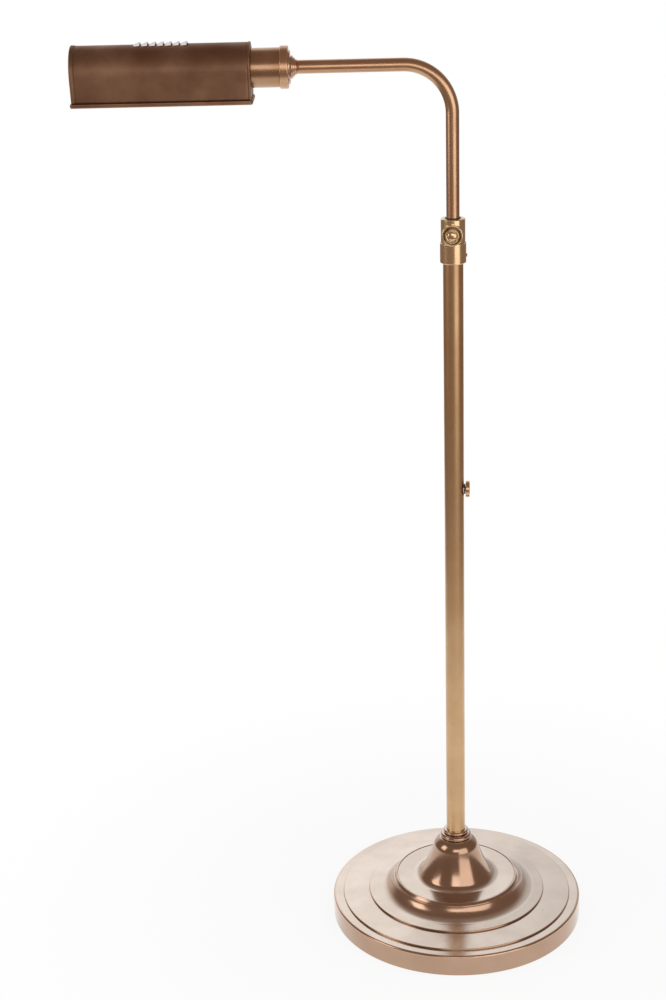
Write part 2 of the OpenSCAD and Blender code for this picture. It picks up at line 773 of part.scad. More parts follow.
module spring_washer() {
    color("silver") along_arm(spring_at) ring(nipple_r + seat_gap, spring_r, spring_t);
}

module swivel_nut() {
    color("silver") along_arm(swivel_nut_t)
        hex_nut(swivel_nut_af, nipple_r + seat_gap, swivel_nut_h);
}

// Two places on the screw circle of the lampholder, one above and one below the axis
module at_holder_screws(t) {
    for (side = [-1, 1]) along_arm(t) translate([side * holder_screw_at, 0, 0]) children();
}

// Step, flange and wall that turn on the swivel nipple, with two tapped holes
module back_plate() {
    color("peru") difference() {
        along_arm(0) rotate_extrude() polygon([[nipple_r + run_gap, back_t],
            [step_plate_r - edge_bevel, back_t], [step_plate_r, back_t + edge_bevel],
            [step_plate_r, flange_t], [flange_r - edge_bevel, flange_t],
            [flange_r, flange_t + edge_bevel], [flange_r, flange_end - edge_bevel],
            [flange_r - edge_bevel, flange_end], [cup_r + seat_gap, flange_end],
            [cup_r + seat_gap, back_face], [nipple_r + run_gap, back_face]]);
        at_holder_screws(back_face - screw_bite)
            cylinder(r = holder_screw_r + seat_gap, h = screw_bite + past);
    }
}

module holder_cup() {
    color("peru") along_arm(back_face) ring(cup_bore, cup_r, shade_near - back_face);
}

// Ceramic body with a rim in the cup, a deep bore for the shell and two screw holes
module holder_body() {
    color("white") difference() {
        along_arm(0) rotate_extrude() polygon([[contact_r + seat_gap, holder_t],
            [cup_bore - seat_gap, holder_t], [cup_bore - seat_gap, holder_t + holder_rim_h],
            [holder_r, holder_t + holder_rim_h], [holder_r, holder_end],
            [shell_out + seat_gap, holder_end], [shell_out + seat_gap, holder_floor_t],
            [contact_r + seat_gap, holder_floor_t]]);
        at_holder_screws(holder_t - past)
            cylinder(r = holder_screw_r + seat_gap, h = holder_floor + 2 * past);
    }
}

module holder_shell() {
    color("goldenrod") along_arm(holder_floor_t)
        ring(shell_r, shell_out, holder_end - shell_short - holder_floor_t);
}

module holder_contact() {
    color("goldenrod") along_arm(holder_t) cylinder(r = contact_r, h = holder_floor + contact_h);
}

module holder_screws() {
    color("silver") {
        at_holder_screws(back_face - screw_bite)
            cylinder(r = holder_screw_r, h = holder_floor_t - back_face + screw_bite);
        at_holder_screws(holder_floor_t) cylinder(r = holder_head_r, h = holder_head_h);
    }
}

// The part of the shade's outline that a round top of radius r covers, X up
module round_top(r) {
    reach = 2 * shade_r;
    intersection() {
        circle(r = r);
        polygon([[0, 0], [-reach * sin(shade_lean), reach * cos(shade_lean)],
            [reach, reach], [reach, -reach],
            [-reach * sin(shade_lean), -reach * cos(shade_lean)]]);
    }
}

// Half width of the shade's outline at a drop below the axis, on the tangent that leaves the round top
function side_foot(r, drop) = r * cos(shade_lean) - (drop - r * sin(shade_lean)) * tan(shade_lean);

// Filled outline of the shade at radius r: the round top and two leaning sides, X up
module trough(r, drop) {
    round_top(r);
    polygon([[0, 0], [-r * sin(shade_lean), r * cos(shade_lean)], [-drop, side_foot(r, drop)],
        [-drop, -side_foot(r, drop)], [-r * sin(shade_lean), -r * cos(shade_lean)]]);
}

// Plan of one louvre with round ends, seen along X, as a prism up through the shade's top
module louvre_plan(t, w, half) {
    translate([0, 0, t]) rotate([0, 90, 0]) linear_extrude(2 * shade_r) {
        square([w, 2 * half], center = true);
        for (side = [-1, 1]) translate([0, side * half]) circle(d = w);
    }
}

// Sloping hood of one louvre, a slice of a cone about the arm's axis that is rooted in the sheet
module louvre_hood(t) {
    low = shade_r - hood_sink - louvre_rise * past / louvre_w;
    high = shade_r - hood_sink + louvre_rise * (1 + past / louvre_w);
    reach = louvre_w / 2 + past;
    intersection() {
        rotate([0, 0, -hood_turn]) rotate_extrude(angle = 2 * hood_turn) polygon([
            [low - hood_t, t + reach], [low, t + reach], [high, t - reach], [high - hood_t, t - reach]]);
        louvre_plan(t, louvre_w, louvre_half - louvre_w / 2);
    }
}

// Sheet trough with a row of hooded slots across its top
module shade_shell() {
    first = louvre_mid - louvre_pitch * (louvre_count - 1) / 2;
    slot_w = louvre_w - 2 * louvre_lip;
    color("saddlebrown") along_arm(0) {
        difference() {
            translate([0, 0, shade_near + cap_t]) linear_extrude(shade_len - 2 * cap_t)
                trough(shade_r, shade_drop);
            translate([0, 0, shade_near]) linear_extrude(shade_len)
                trough(shade_r - shade_t, shade_drop + past);
            for (i = [0:louvre_count - 1])
                louvre_plan(first + i * louvre_pitch, slot_w, louvre_half - louvre_w / 2);
        }
        for (i = [0:louvre_count - 1]) louvre_hood(first + i * louvre_pitch);
    }
}

// End plate with a flange over the shell
module shade_cap(flange_w) {
    difference() {
        linear_extrude(flange_w) trough(shade_r + cap_proud, shade_drop);
        translate([0, 0, cap_t]) linear_extrude(flange_w)
            trough(shade_r + seat_gap, shade_drop + past);
    }
}

module shade_near_cap() {
    color("saddlebrown") difference() {
        along_arm(shade_near) shade_cap(near_flange_w);
        along_arm(shade_near - past) cylinder(r = holder_r + seat_gap, h = cap_t + 2 * past);
    }
}

module shade_far_cap() {
    color("saddlebrown") along_arm(shade_far) mirror([0, 0, 1]) shade_cap(far_flange_w);
}

// Rectangle of a given half width about the X axis
module strip(length, half) {
    translate([0, -half]) square([length, 2 * half]);
}

// The same rectangle with round corners
module round_strip(length, half, corner) {
    translate([corner, 0]) strip(length - 2 * corner, half);
    strip(length, half - corner);
    for (x = [corner, length - corner], side = [-1, 1])
        translate([x, side * (half - corner)]) circle(r = corner);
}

// Frame under the edge of shell and caps
module shade_hem() {
    length = shade_len + 2 * hem_proud;
    color("saddlebrown") translate([-shade_near + hem_proud - length, 0, arm_z - shade_drop - hem_h])
        linear_extrude(hem_h) difference() {
            round_strip(length, hem_out, hem_w);
            translate([hem_w, 0]) strip(length - 2 * hem_w, hem_out - hem_w);
        }
}

module shade_ring() {
    color("goldenrod") along_arm(shade_near + cap_t) ring(holder_r + seat_gap, shade_ring_r, shade_ring_h);
}

// Screw cap of the bulb, a cup with a contact on its floor
module bulb_cap() {
    color("silver") along_arm(0) rotate_extrude() polygon([[0, bulb_tip], [tip_r, bulb_tip],
        [tip_r, bulb_tip + tip_h], [cap_r, bulb_tip + tip_h + cap_skirt], [cap_r, cap_end],
        [cap_r - cap_wall, cap_end], [cap_r - cap_wall, glass_foot], [0, glass_foot]]);
}

// Glass tube of the bulb: neck, swell, straight tube and round end, open in the cap
module bulb_glass() {
    color("whitesmoke") along_arm(0) rotate_extrude() polygon(concat(
        [[neck_out - glass_t, glass_foot], [neck_out, glass_foot], [neck_out, neck_end],
            [bulb_r, bulb_tube]],
        arc([0, bulb_end - bulb_r], bulb_r, 0, 90),
        arc([0, bulb_end - bulb_r], bulb_r - glass_t, 90, 0),
        [[bulb_r - glass_t, bulb_tube], [neck_out - glass_t, neck_end]]));
}

base_pan();
base_bell();
base_weight();
base_felt();
base_nipple();
base_nut();
base_washer();
cord_bush();
neck_ring();
pole();
pole_foot();
clamp_collar();
collar_liner();
collar_grub();
clamp_shoe();
clamp_screw();
switch_body();
switch_bushing();
switch_nut();
switch_shaft();
switch_knob();
knob_grub();
guide_bush();
arm_tube();
stop_rings();
end_bush();
ferrule();
swivel_nipple();
friction_washer();
spring_washer();
swivel_nut();
back_plate();
holder_cup();
holder_body();
holder_shell();
holder_contact();
holder_screws();
shade_shell();
shade_near_cap();
shade_far_cap();
shade_hem();
shade_ring();
bulb_cap();
bulb_glass();
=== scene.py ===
"""Dresses the floor lamp's packed frame: turned and swept metal pieces, their finishes and a plain studio."""

import json
import math

import bmesh
import bpy
import numpy as np
from bpy.props import FloatProperty, FloatVectorProperty, IntProperty, PointerProperty
from mathutils import Euler, Matrix, Vector


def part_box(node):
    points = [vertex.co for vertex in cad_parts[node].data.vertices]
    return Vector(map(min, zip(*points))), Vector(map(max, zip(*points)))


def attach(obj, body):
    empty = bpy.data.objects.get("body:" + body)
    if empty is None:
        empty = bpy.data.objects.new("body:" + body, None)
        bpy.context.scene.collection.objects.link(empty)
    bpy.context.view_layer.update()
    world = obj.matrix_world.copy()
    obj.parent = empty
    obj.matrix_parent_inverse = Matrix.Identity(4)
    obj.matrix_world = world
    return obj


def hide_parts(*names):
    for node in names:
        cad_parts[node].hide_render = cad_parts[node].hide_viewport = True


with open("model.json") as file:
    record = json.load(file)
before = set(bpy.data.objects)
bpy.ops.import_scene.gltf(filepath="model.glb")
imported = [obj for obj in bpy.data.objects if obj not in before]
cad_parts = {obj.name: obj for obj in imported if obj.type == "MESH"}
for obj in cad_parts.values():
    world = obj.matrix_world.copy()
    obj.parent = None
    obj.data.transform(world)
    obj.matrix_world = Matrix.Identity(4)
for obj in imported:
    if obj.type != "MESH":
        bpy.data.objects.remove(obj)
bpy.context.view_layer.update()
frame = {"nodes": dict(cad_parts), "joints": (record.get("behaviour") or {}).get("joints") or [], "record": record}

bl_info = {
    "name": "Swing-arm floor lamp",
    "version": (1, 0, 0),
    "blender": (4, 5, 0),
    "location": "View3D > Sidebar > Lamp",
    "description": "Builds the pieces of an aged brass floor lamp around its frame",
    "category": "Add Mesh",
}

MM = 0.001
WELD = 0.002 * MM
WHITE = (1.0, 1.0, 1.0, 1.0)
JOINTS = {joint["name"]: joint for joint in frame["joints"]}
BOX = {node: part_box(node) for node in frame["nodes"]}
ARM_Z = JOINTS["shade_tilt"]["pos_m"][2]


def low(node, axis):
    """Lowest coordinate of a node on one axis."""
    return BOX[node][0]["xyz".index(axis)]


def high(node, axis):
    """Highest coordinate of a node on one axis."""
    return BOX[node][1]["xyz".index(axis)]


def span(node, axis):
    """Lowest and highest coordinate of a node on one axis."""
    return low(node, axis), high(node, axis)


def arm_span(node):
    """Start and end of a node along the arm, counted outwards from the pole."""
    return -high(node, "x"), -low(node, "x")


def length(name, description, default):
    """A size in metres that a user can change."""
    return FloatProperty(name=name, description=description, default=default, precision=5,
                         subtype="DISTANCE", unit="LENGTH")


def tint(name, description, default):
    """A colour that a user can change."""
    return FloatVectorProperty(name=name, description=description, default=default, size=3,
                               min=0.0, max=1.0, subtype="COLOR")


def share(name, description, default):
    """A share from 0 to 1 that a user can change."""
    return FloatProperty(name=name, description=description, default=default, min=0.0, max=1.0,
                         subtype="FACTOR")


def rotation(name, description, degrees):
    """An angle that a user can change."""
    return FloatProperty(name=name, description=description, default=math.radians(degrees), subtype="ANGLE",
                         unit="ROTATION")


class BaseSizes(bpy.types.PropertyGroup):
    """Sizes of the stepped base, its bell, the neck ring and the rim bush."""

    radius: length("Radius", "Outer radius of the base pan", high("base_pan", "x"))
    wall: length("Wall height", "Height of the pan's outer wall", 25.5 * MM)
    sheet: length("Sheet", "Thickness of the spun sheet", 1.2 * MM)
    rim_round: length("Rim rounding", "Rounding of the pan's top edge", 2.5 * MM)
    ledge: length("Ledge", "Width from the edge to the first step", 12.4 * MM)
    deck: length("Deck", "Width between the two steps", 31.6 * MM)
    step1: length("First step", "Height of the first step", 2.0 * MM)
    deck_rise: length("Deck rise", "Rise of the deck between the steps towards the middle", 1.6 * MM)
    step2: length("Second step", "Height of the second step", 2.2 * MM)
    inner_rise: length("Inner rise", "Rise of the deck inside the second step", 1.0 * MM)
    step_round: length("Step rounding", "Rounding of the step edges", 0.7 * MM)
    cove: length("Cove", "Radius of the cove below the bell's lip", 20 * MM)
    cove_gap: length("Cove gap", "Distance from the bell's lip to the top of the cove", 0.8 * MM)
    seat_w: length("Seat width", "Reach of the pan's seat under the bell", 10 * MM)
    lip_h: length("Lip height", "Height of the bell's lip above its seat", 3.6 * MM)
    lip_w: length("Lip width", "Width of the bell's lip", 4.2 * MM)
    lip_foot: length("Lip foot", "Height of the lip's upright foot", 1.0 * MM)
    lip_land: length("Lip land", "Flat width on top of the lip", 1.8 * MM)
    lip_over: length("Lip stand", "Height of the lip over the ring inside it", 0.4 * MM)
    groove_w: length("Groove width", "Width of the groove inside the lip", 0.7 * MM)
    groove_h: length("Groove depth", "Depth of the groove below the ring", 0.6 * MM)
    flare_foot: length("Flare foot", "Radius at which the bell's flare leaves the flat ring", 52 * MM)
    flare: length("Flare", "Radius of the bell's flare", 12 * MM)
    flare_slope: rotation("Flare slope", "Slope at which the flare runs into the hollow side", 58)
    hollow: length("Hollow side", "Radius of the bell's hollow side", 118 * MM)
    slope: rotation("Slope", "Slope at which the hollow side runs into the shoulder", 76)
    shoulder: length("Shoulder", "Radius of the bell's shoulder", 17 * MM)
    bead1: length("Lower bead", "Height of the neck ring's lower bead", 6 * MM)
    bead2: length("Upper bead", "Height of the neck ring's upper bead", 4.2 * MM)
    bead2_r: length("Upper bead radius", "Radius of the neck ring's upper bead", 15 * MM)
    bead_waist: length("Bead waist", "Depth of the groove between the beads", 2.2 * MM)
    nipple_bore: length("Nipple bore", "Bore radius of bell and neck ring for the nipple", 5.3 * MM)
    bush_step: length("Bush step", "Stand of the rim bush's flanges outside its barrel", 1.4 * MM)
    bush_flange: length("Bush flange", "Thickness of the rim bush's flanges", 1.6 * MM)
    bush_tail: length("Bush tail", "Length of the rim bush's barrel behind its inner flange", 4 * MM)


class StemSizes(bpy.types.PropertyGroup):
    """Sizes of the pole, the clamp collar and the switch."""

    pole_wall: length("Pole wall", "Wall of the pole", 1.0 * MM)
    skirt_r: length("Skirt radius", "Radius of the collar's skirt", 14.3 * MM)
    skirt_h: length("Skirt height", "Height of the collar's skirt", 22 * MM)
    collar_r: length("Collar radius", "Radius of the collar above its skirt", 13.3 * MM)
    collar_bevel: length("Collar bevel", "Bevel of the collar's edges", 0.8 * MM)
    collar_bore: length("Collar bore", "Bore radius of the collar's mouth", 9.03 * MM)
    run_gap: length("Running gap", "Gap round the tube that turns in the collar", 0.06 * MM)
    boss_r: length("Boss radius", "Radius of the boss round the clamp screw", 11.6 * MM)
    boss_reach: length("Boss reach", "Reach of the boss from the pole's axis", 17.4 * MM)
    boss_root: length("Boss root", "Distance from the tube's way to the root of the boss", 0.5 * MM)
    boss_lip: length("Boss lip", "Depth of the bright edge inside the boss", 0.8 * MM)
    recess_r: length("Recess radius", "Radius of the recess in the boss", 9.7 * MM)
    recess_h: length("Recess depth", "Depth of the recess in the boss", 2.4 * MM)
    screw_r: length("Screw radius", "Radius of the clamp screw's shank", 2.94 * MM)
    screw_tip: length("Screw tip", "Distance from the arm tube to the clamp screw's tip", 3.6 * MM)
    head_gap: length("Head gap", "Gap between the recess and the clamp screw's head", 0.8 * MM)
    head_r: length("Head radius", "Radius of the clamp screw's head", 7.7 * MM)
    head_h: length("Head height", "Thickness of the clamp screw's head", 4.6 * MM)
    dome_r: length("Dome radius", "Radius of the dome on the clamp screw", 5.2 * MM)
    dome_h: length("Dome height", "Height of the dome on the clamp screw", 2.2 * MM)
    dome_groove: length("Dome groove", "Width and depth of the groove round the dome", 0.9 * MM)
    knob_r: length("Knob radius", "Radius of the switch knob", 9.3 * MM)
    knob_h: length("Knob thickness", "Thickness of the switch knob", 4.5 * MM)
    knob_gap: length("Knob gap", "Gap between the switch nut and the knob", 0.3 * MM)
    dish_out: share("Dish edge", "Radius of the dish's edge as a share of the knob's", 0.72)
    dish_in: share("Dish floor", "Radius of the dish's floor as a share of the knob's", 0.66)
    dish_h: length("Dish depth", "Depth of the dish in the knob's face", 0.35 * MM)
    nut_gap: length("Switch nut gap", "Gap between the pole and the switch nut", 0.1 * MM)
    nut_r: length("Switch nut radius", "Radius of the round switch nut", 5.8 * MM)
    nut_h: length("Switch nut height", "Thickness of the round switch nut", 1.5 * MM)
    nut_bore: length("Switch nut bore", "Bore radius of the round switch nut", 4.93 * MM)


class ArmSizes(bpy.types.PropertyGroup):
    """Sizes of the bent arm, its ferrule and the lampholder cup."""

    tube_r: length("Tube radius", "Outer radius of the arm tube", high("arm_tube", "y"))
    tube_wall: length("Tube wall", "Wall of the arm tube", 1.0 * MM)
    bend_r: length("Bend radius", "Centre-line radius of the arm's bend", 52 * MM)
    ring1_r: length("Small ring", "Radius of the ferrule's small end", 8.2 * MM)
    ring2_r: length("Middle ring", "Radius of the ferrule's middle ring", 10 * MM)
    ring3_r: length("Large ring", "Radius of the ferrule's large end", 12 * MM)
    step_r: length("Step radius", "Radius of the back plate's step", 17.5 * MM)
    step_h: length("Step thickness", "Thickness of the back plate's step", 1.8 * MM)
    cup_wall: length("Cup wall", "Wall of the lampholder cup", 1.0 * MM)
    nipple_r: length("Nipple radius", "Radius of the threaded nipple", 5 * MM)


class ShadeSizes(bpy.types.PropertyGroup):
    """Sizes of the trough shade, the bulb and the lampholder."""

    round_r: length("Top radius", "Radius of the shade's round top about the arm's axis", 27 * MM)
    lean: rotation("Lean", "Inward lean of the shade's sides", 10)
    sheet: length("Sheet", "Thickness of the shade's sheet", 0.9 * MM)
    cap_proud: length("Cap stand", "Stand of the end caps' flanges outside the shell", 0.7 * MM)
    cap_bend: length("Cap bend", "Bend radius of the end caps' edges", 0.9 * MM)
    cap_lap: length("Cap lap", "Lap of the near end cap inside the lampholder's rim", 2.6 * MM)
    near_flange: length("Near flange", "Width of the near end cap's flange", 2.5 * MM)
    far_flange: length("Far flange", "Width of the far end cap's flange", 5.5 * MM)
    hem_w: length("Hem width", "Thickness of the rolled hem", 3 * MM)
    hem_roll: length("Hem roll", "Rounding of the rolled hem", 1.3 * MM)
    louvres: IntProperty(name="Louvres", description="Number of louvres", default=7, min=1, max=9)
    pitch: length("Louvre pitch", "Distance from one louvre to the next", 8.3 * MM)
    louvre_w: length("Louvre length", "Length of each louvre along the shade", 7 * MM)
    louvre_half: length("Louvre half width", "Half of each louvre's width across the shade", 8 * MM)
    louvre_rise: length("Louvre rise", "Rise of each louvre's open edge", 2.5 * MM)
    glass_r: length("Bulb radius", "Radius of the bulb's glass tube", 15.5 * MM)
    glass_neck: length("Bulb neck", "Radius of the bulb's neck", 12.5 * MM)
    neck_h: length("Neck length", "Length of the bulb's neck outside its cap", 3 * MM)
    swell_h: length("Swell length", "Length over which the bulb widens", 12 * MM)
    glass_wall: length("Bulb wall", "Wall of the bulb's glass", 1.0 * MM)
    holder_r: length("Lampholder radius", "Radius of the lampholder's barrel", 17 * MM)
    holder_rim: length("Lampholder rim", "Thickness of the lampholder's rim", 4 * MM)
    holder_bore: length("Lampholder bore", "Bore radius of the lampholder's mouth", 14.03 * MM)
    holder_floor: length("Lampholder floor", "Thickness of the lampholder's floor", 16 * MM)
    contact_bore: length("Contact bore", "Bore radius for the contact in the lampholder's floor", 3.83 * MM)


class Finishes(bpy.types.PropertyGroup):
    """Colours of the finishes."""

    base: tint("Base brass", "Metal of the base's walls and bell", (0.48, 0.31, 0.21))
    # paler colour that upward level faces take: the metal with a painted sheen of the white they mirror
    flats_sheen: tint("Base flats", "Polished metal of the base's level rings", (0.86, 0.74, 0.645))
    stem: tint("Stem brass", "Drawn metal of the pole and the switch", (0.64, 0.42, 0.225))
    clamp: tint("Clamp brass", "Polished metal of the collar and its screw", (0.80, 0.59, 0.36))
    arm: tint("Arm brass", "Metal of the arm and the back plate", (0.62, 0.39, 0.235))
    # the arm's brass at 0.84 of its level, darker to stand for shade: a painted shade
    cup: tint("Cup brass", "Metal of the lampholder cup", (0.5208, 0.3276, 0.1974))
    # pale, barely metallic colour of the raised louvres: a painted highlight
    louvre_glint: tint("Bare edges", "Pale raised edges of the louvres", (0.93, 0.89, 0.86))
    shade: tint("Shade bronze", "Dark metal of the shade", (0.36, 0.21, 0.13))
    # also the colour of the painted shade in the clamp's recess
    patina: tint("Patina", "Dark brown of stains and corners", (0.10, 0.055, 0.03))
    turned: tint("Turned brass", "Plain brass of the inner fittings", (0.72, 0.52, 0.24))
    steel: tint("Plated steel", "Nuts, washers and screws", (0.62, 0.61, 0.58))
    dark_steel: tint("Dark steel", "Browned steel of small screws", (0.384, 0.252, 0.135))
    iron: tint("Cast iron", "The weight in the base", (0.06, 0.06, 0.06))
    felt: tint("Felt", "Pad under the base", (0.05, 0.07, 0.05))
    black: tint("Black plastic", "Liner bush and switch", (0.035, 0.028, 0.022))
    brown: tint("Brown plastic", "Bush in the rim", (0.10, 0.055, 0.03))
    nylon: tint("Nylon", "Guide bush and friction washer", (0.75, 0.73, 0.66))
    porcelain: tint("Porcelain", "Lampholder body", (0.84, 0.83, 0.79))
    opal: tint("Opal glass", "Bulb", (0.90, 0.89, 0.86))


class Studio(bpy.types.PropertyGroup):
    """Camera, lights and floor."""

    distance: length("Camera distance", "Level distance from the pole to the camera", 2.127)
    height: length("Camera height", "Height of the camera above the floor", 1.322)
    bearing: rotation("Bearing", "Turn of the camera round the pole", -2.0)
    yaw: rotation("Yaw", "Turn of the camera's view to the left", 1.72)
    pitch: rotation("Pitch", "Downward tilt of the camera", 20.27)
    roll: rotation("Roll", "Roll of the camera", -1.56)
    lens: FloatProperty(name="Lens", description="Focal length", default=71.6, unit="CAMERA")
    floor_reach: length("Floor reach", "Reach of the pale floor to every side", 30.0)
    pool_front: length("Pool front", "Reach of the white floor towards the camera, as metal mirrors it", 0.95)
    pool_side: length("Pool side", "Reach of the white floor to the sides, as metal mirrors it", 0.92)
    room: tint("Room", "Dim room in front of the lamp, as metal mirrors it", (0.27, 0.20, 0.165))
    backdrop: tint("Backdrop", "Greyer right part of the backdrop, as metal mirrors it", (0.55, 0.55, 0.55))
    shadow_floor: tint("Shadow floor", "Floor that takes the lamp's shadow", (0.9, 0.9, 0.9))
    ambient: tint("Ambient", "Even light from all sides", (0.6, 0.6, 0.6))
    floor_white: share("Floor white", "Share of plain white in the floor close to the lamp", 0.88)


def unit(vectors):
    """Vectors at length 1."""
    return vectors / np.linalg.norm(vectors, axis=-1, keepdims=True)


def arc(centre, radius, start, end, steps=24):
    """Corner rows on an arc: points at a radius from a centre, the angle running evenly from start to end."""
    angle = np.radians(np.linspace(start, end, steps))
    return np.column_stack([centre[0] + radius * np.cos(angle), centre[1] + radius * np.sin(angle),
                            np.zeros(steps)])


def rounded(rows, closed=True, steps=5, hold=0.5 * MM):
    """Outline through corner rows (across, along, radius). Each corner is an arc that touches both of its
    sides, and a long side has a point near each end, so that it shades flat. Also gives each point's edge
    mark: 1 on an outward edge, -1 in an inward corner, 0 elsewhere."""
    rows = np.vstack([np.atleast_2d(row) for row in rows]).astype(float)
    at, radius = rows[:, :2], rows[:, 2]
    back, ahead = np.roll(at, 1, 0) - at, np.roll(at, -1, 0) - at
    reach = np.minimum(np.linalg.norm(back, axis=1), np.linalg.norm(ahead, axis=1))
    back, ahead = unit(back), unit(ahead)
    turn = np.arccos(np.clip(-(back * ahead).sum(1), -1, 1))
    sharp = (radius > 0) & (turn > 0.01)
    turn = np.where(sharp, turn, 1.0)
    radius = np.where(sharp, np.minimum(radius, 0.45 * reach / np.tan(turn / 2)), 0)
    cut = (radius * np.tan(turn / 2))[:, None]
    inward = back + ahead
    size = np.linalg.norm(inward, axis=1, keepdims=True)
    inward = np.where(size > 1e-9, inward / np.maximum(size, 1e-9), 0)
    centre = at + inward * (radius / np.cos(turn / 2))[:, None]
    first, last = at + back * cut - centre, at + ahead * cut - centre
    part = np.linspace(0, 1, steps + 1)[None, :, None]
    angle = turn[:, None, None]
    bend = np.sin((1 - part) * angle) * first[:, None] + np.sin(part * angle) * last[:, None]
    bend = centre[:, None] + bend / np.sin(angle)
    side = np.roll(bend[:, 0], -1, 0) - bend[:, -1]
    side_len = np.linalg.norm(side, axis=1, keepdims=True)
    step = side * np.where(side_len > 4 * hold, hold / np.maximum(side_len, 1e-9), 0)
    points = np.concatenate([bend, (bend[:, -1] + step)[:, None], (bend[:, -1] + side - step)[:, None]], 1)
    cross = back[:, 0] * ahead[:, 1] - back[:, 1] * ahead[:, 0]
    area = (at[:, 0] * np.roll(at[:, 1], -1) - at[:, 1] * np.roll(at[:, 0], -1)).sum()
    mark = np.where(sharp, -np.sign(cross) * np.sign(area), 0)
    marks = np.repeat(mark[:, None], points.shape[1], 1)
    marks[:, -2:] = 0
    points, marks = points.reshape(-1, 2), marks.reshape(-1)
    if not closed:
        points, marks = points[:-2], marks[:-2]
    fresh = np.linalg.norm(points - np.roll(points, 1, 0), axis=1) > 1e-7
    return points[fresh], marks[fresh]


def grid_faces(rows, columns, close_rows, close_columns):
    """Quads between neighbouring points of a grid; a closed direction joins its last line to its first."""
    i, j = np.meshgrid(np.arange(rows if close_rows else rows - 1),
                       np.arange(columns if close_columns else columns - 1), indexing="ij")
    below, beside = (i + 1) % rows, (j + 1) % columns
    return np.stack([i * columns + j, i * columns + beside, below * columns + beside, below * columns + j],
                    -1).reshape(-1, 4)


class Place:
    """A turned piece's own axes: local Z along its axis, from an origin in the lamp's frame."""

    def __init__(self, origin, axis, across):
        axis, across = np.asarray(axis, float), np.asarray(across, float)
        self.origin = np.asarray(origin, float)
        self.turn = np.stack([across, np.cross(axis, across), axis])

    def points(self, local):
        """Local points in the lamp's frame: origin + x across + y sideways + z along the axis."""
        return self.origin + local @ self.turn


UPRIGHT = Place((0, 0, 0), (0, 0, 1), (1, 0, 0))
ALONG_ARM = Place((0, 0, ARM_Z), (-1, 0, 0), (0, 0, 1))
CLAMP = Place((0, 0, JOINTS["clamp_turn"]["pos_m"][2]), JOINTS["clamp_turn"]["axis"], (0, 0, 1))
SWITCH = Place((0, 0, JOINTS["switch_turn"]["pos_m"][2]), JOINTS["switch_turn"]["axis"], (0, 0, 1))


def lathe(place, rows, turns=96, closed=True):
    """Turned surface: outline point (r, h) goes round the axis as x = r cos a, y = r sin a, z = h."""
    outline, marks = rounded(rows, closed)
    angle = np.linspace(0, 2 * np.pi, turns, endpoint=False)
    r, h = outline[:, :1], outline[:, 1:]
    local = np.stack([r * np.cos(angle), r * np.sin(angle), np.repeat(h, turns, 1)], -1)
    return (place.points(local.reshape(-1, 3)), grid_faces(len(outline), turns, closed, True),
            np.repeat(marks, turns))


def painted_shade(shape):
    """The same shape with the mark of an inward corner all over, so that it takes the dark patina colour as a
    painted shade.
    """
    points, faces, marks = shape
    return points, faces, np.full_like(marks, -1.0)


def joined(*shapes):
    """Several shapes as one: points, faces and edge marks run on."""
    starts = np.cumsum([0] + [len(points) for points, _, _ in shapes])
    return (np.vstack([points for points, _, _ in shapes]),
            np.vstack([faces + start for (_, faces, _), start in zip(shapes, starts)]),
            np.concatenate([marks for _, _, marks in shapes]))


def piece(name, shape, material, body, nodes, outward_from=None):
    """Makes a mesh piece from points, quads and edge marks, closes its seams, turns its faces outwards,
    and hangs it on a body in place of its nodes. An open sheet faces away from the point outward_from."""
    points, faces, marks = shape
    mesh = bpy.data.meshes.new(name)
    mesh.from_pydata(points.tolist(), [], faces.tolist())
    mesh.attributes.new("edge", "FLOAT", "POINT").data.foreach_set("value", marks.astype(np.float32))
    work = bmesh.new()
    work.from_mesh(mesh)
    bmesh.ops.remove_doubles(work, verts=work.verts, dist=WELD)
    bmesh.ops.delete(work, geom=[edge for edge in work.edges if edge.is_wire], context="EDGES")
    bmesh.ops.recalc_face_normals(work, faces=work.faces)
    if outward_from is not None:
        middle = Vector(outward_from)
        facing = sum(f.normal.dot(f.calc_center_median() - middle) * f.calc_area() for f in work.faces)
        if facing < 0:
            bmesh.ops.reverse_faces(work, faces=work.faces)
    work.to_mesh(mesh)
    work.free()
    mesh.polygons.foreach_set("use_smooth", np.ones(len(mesh.polygons), bool))
    made = bpy.data.objects.new(name, mesh)
    bpy.context.scene.collection.objects.link(made)
    mesh.materials.append(material)
    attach(made, body)
    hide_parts(*nodes)
    return made


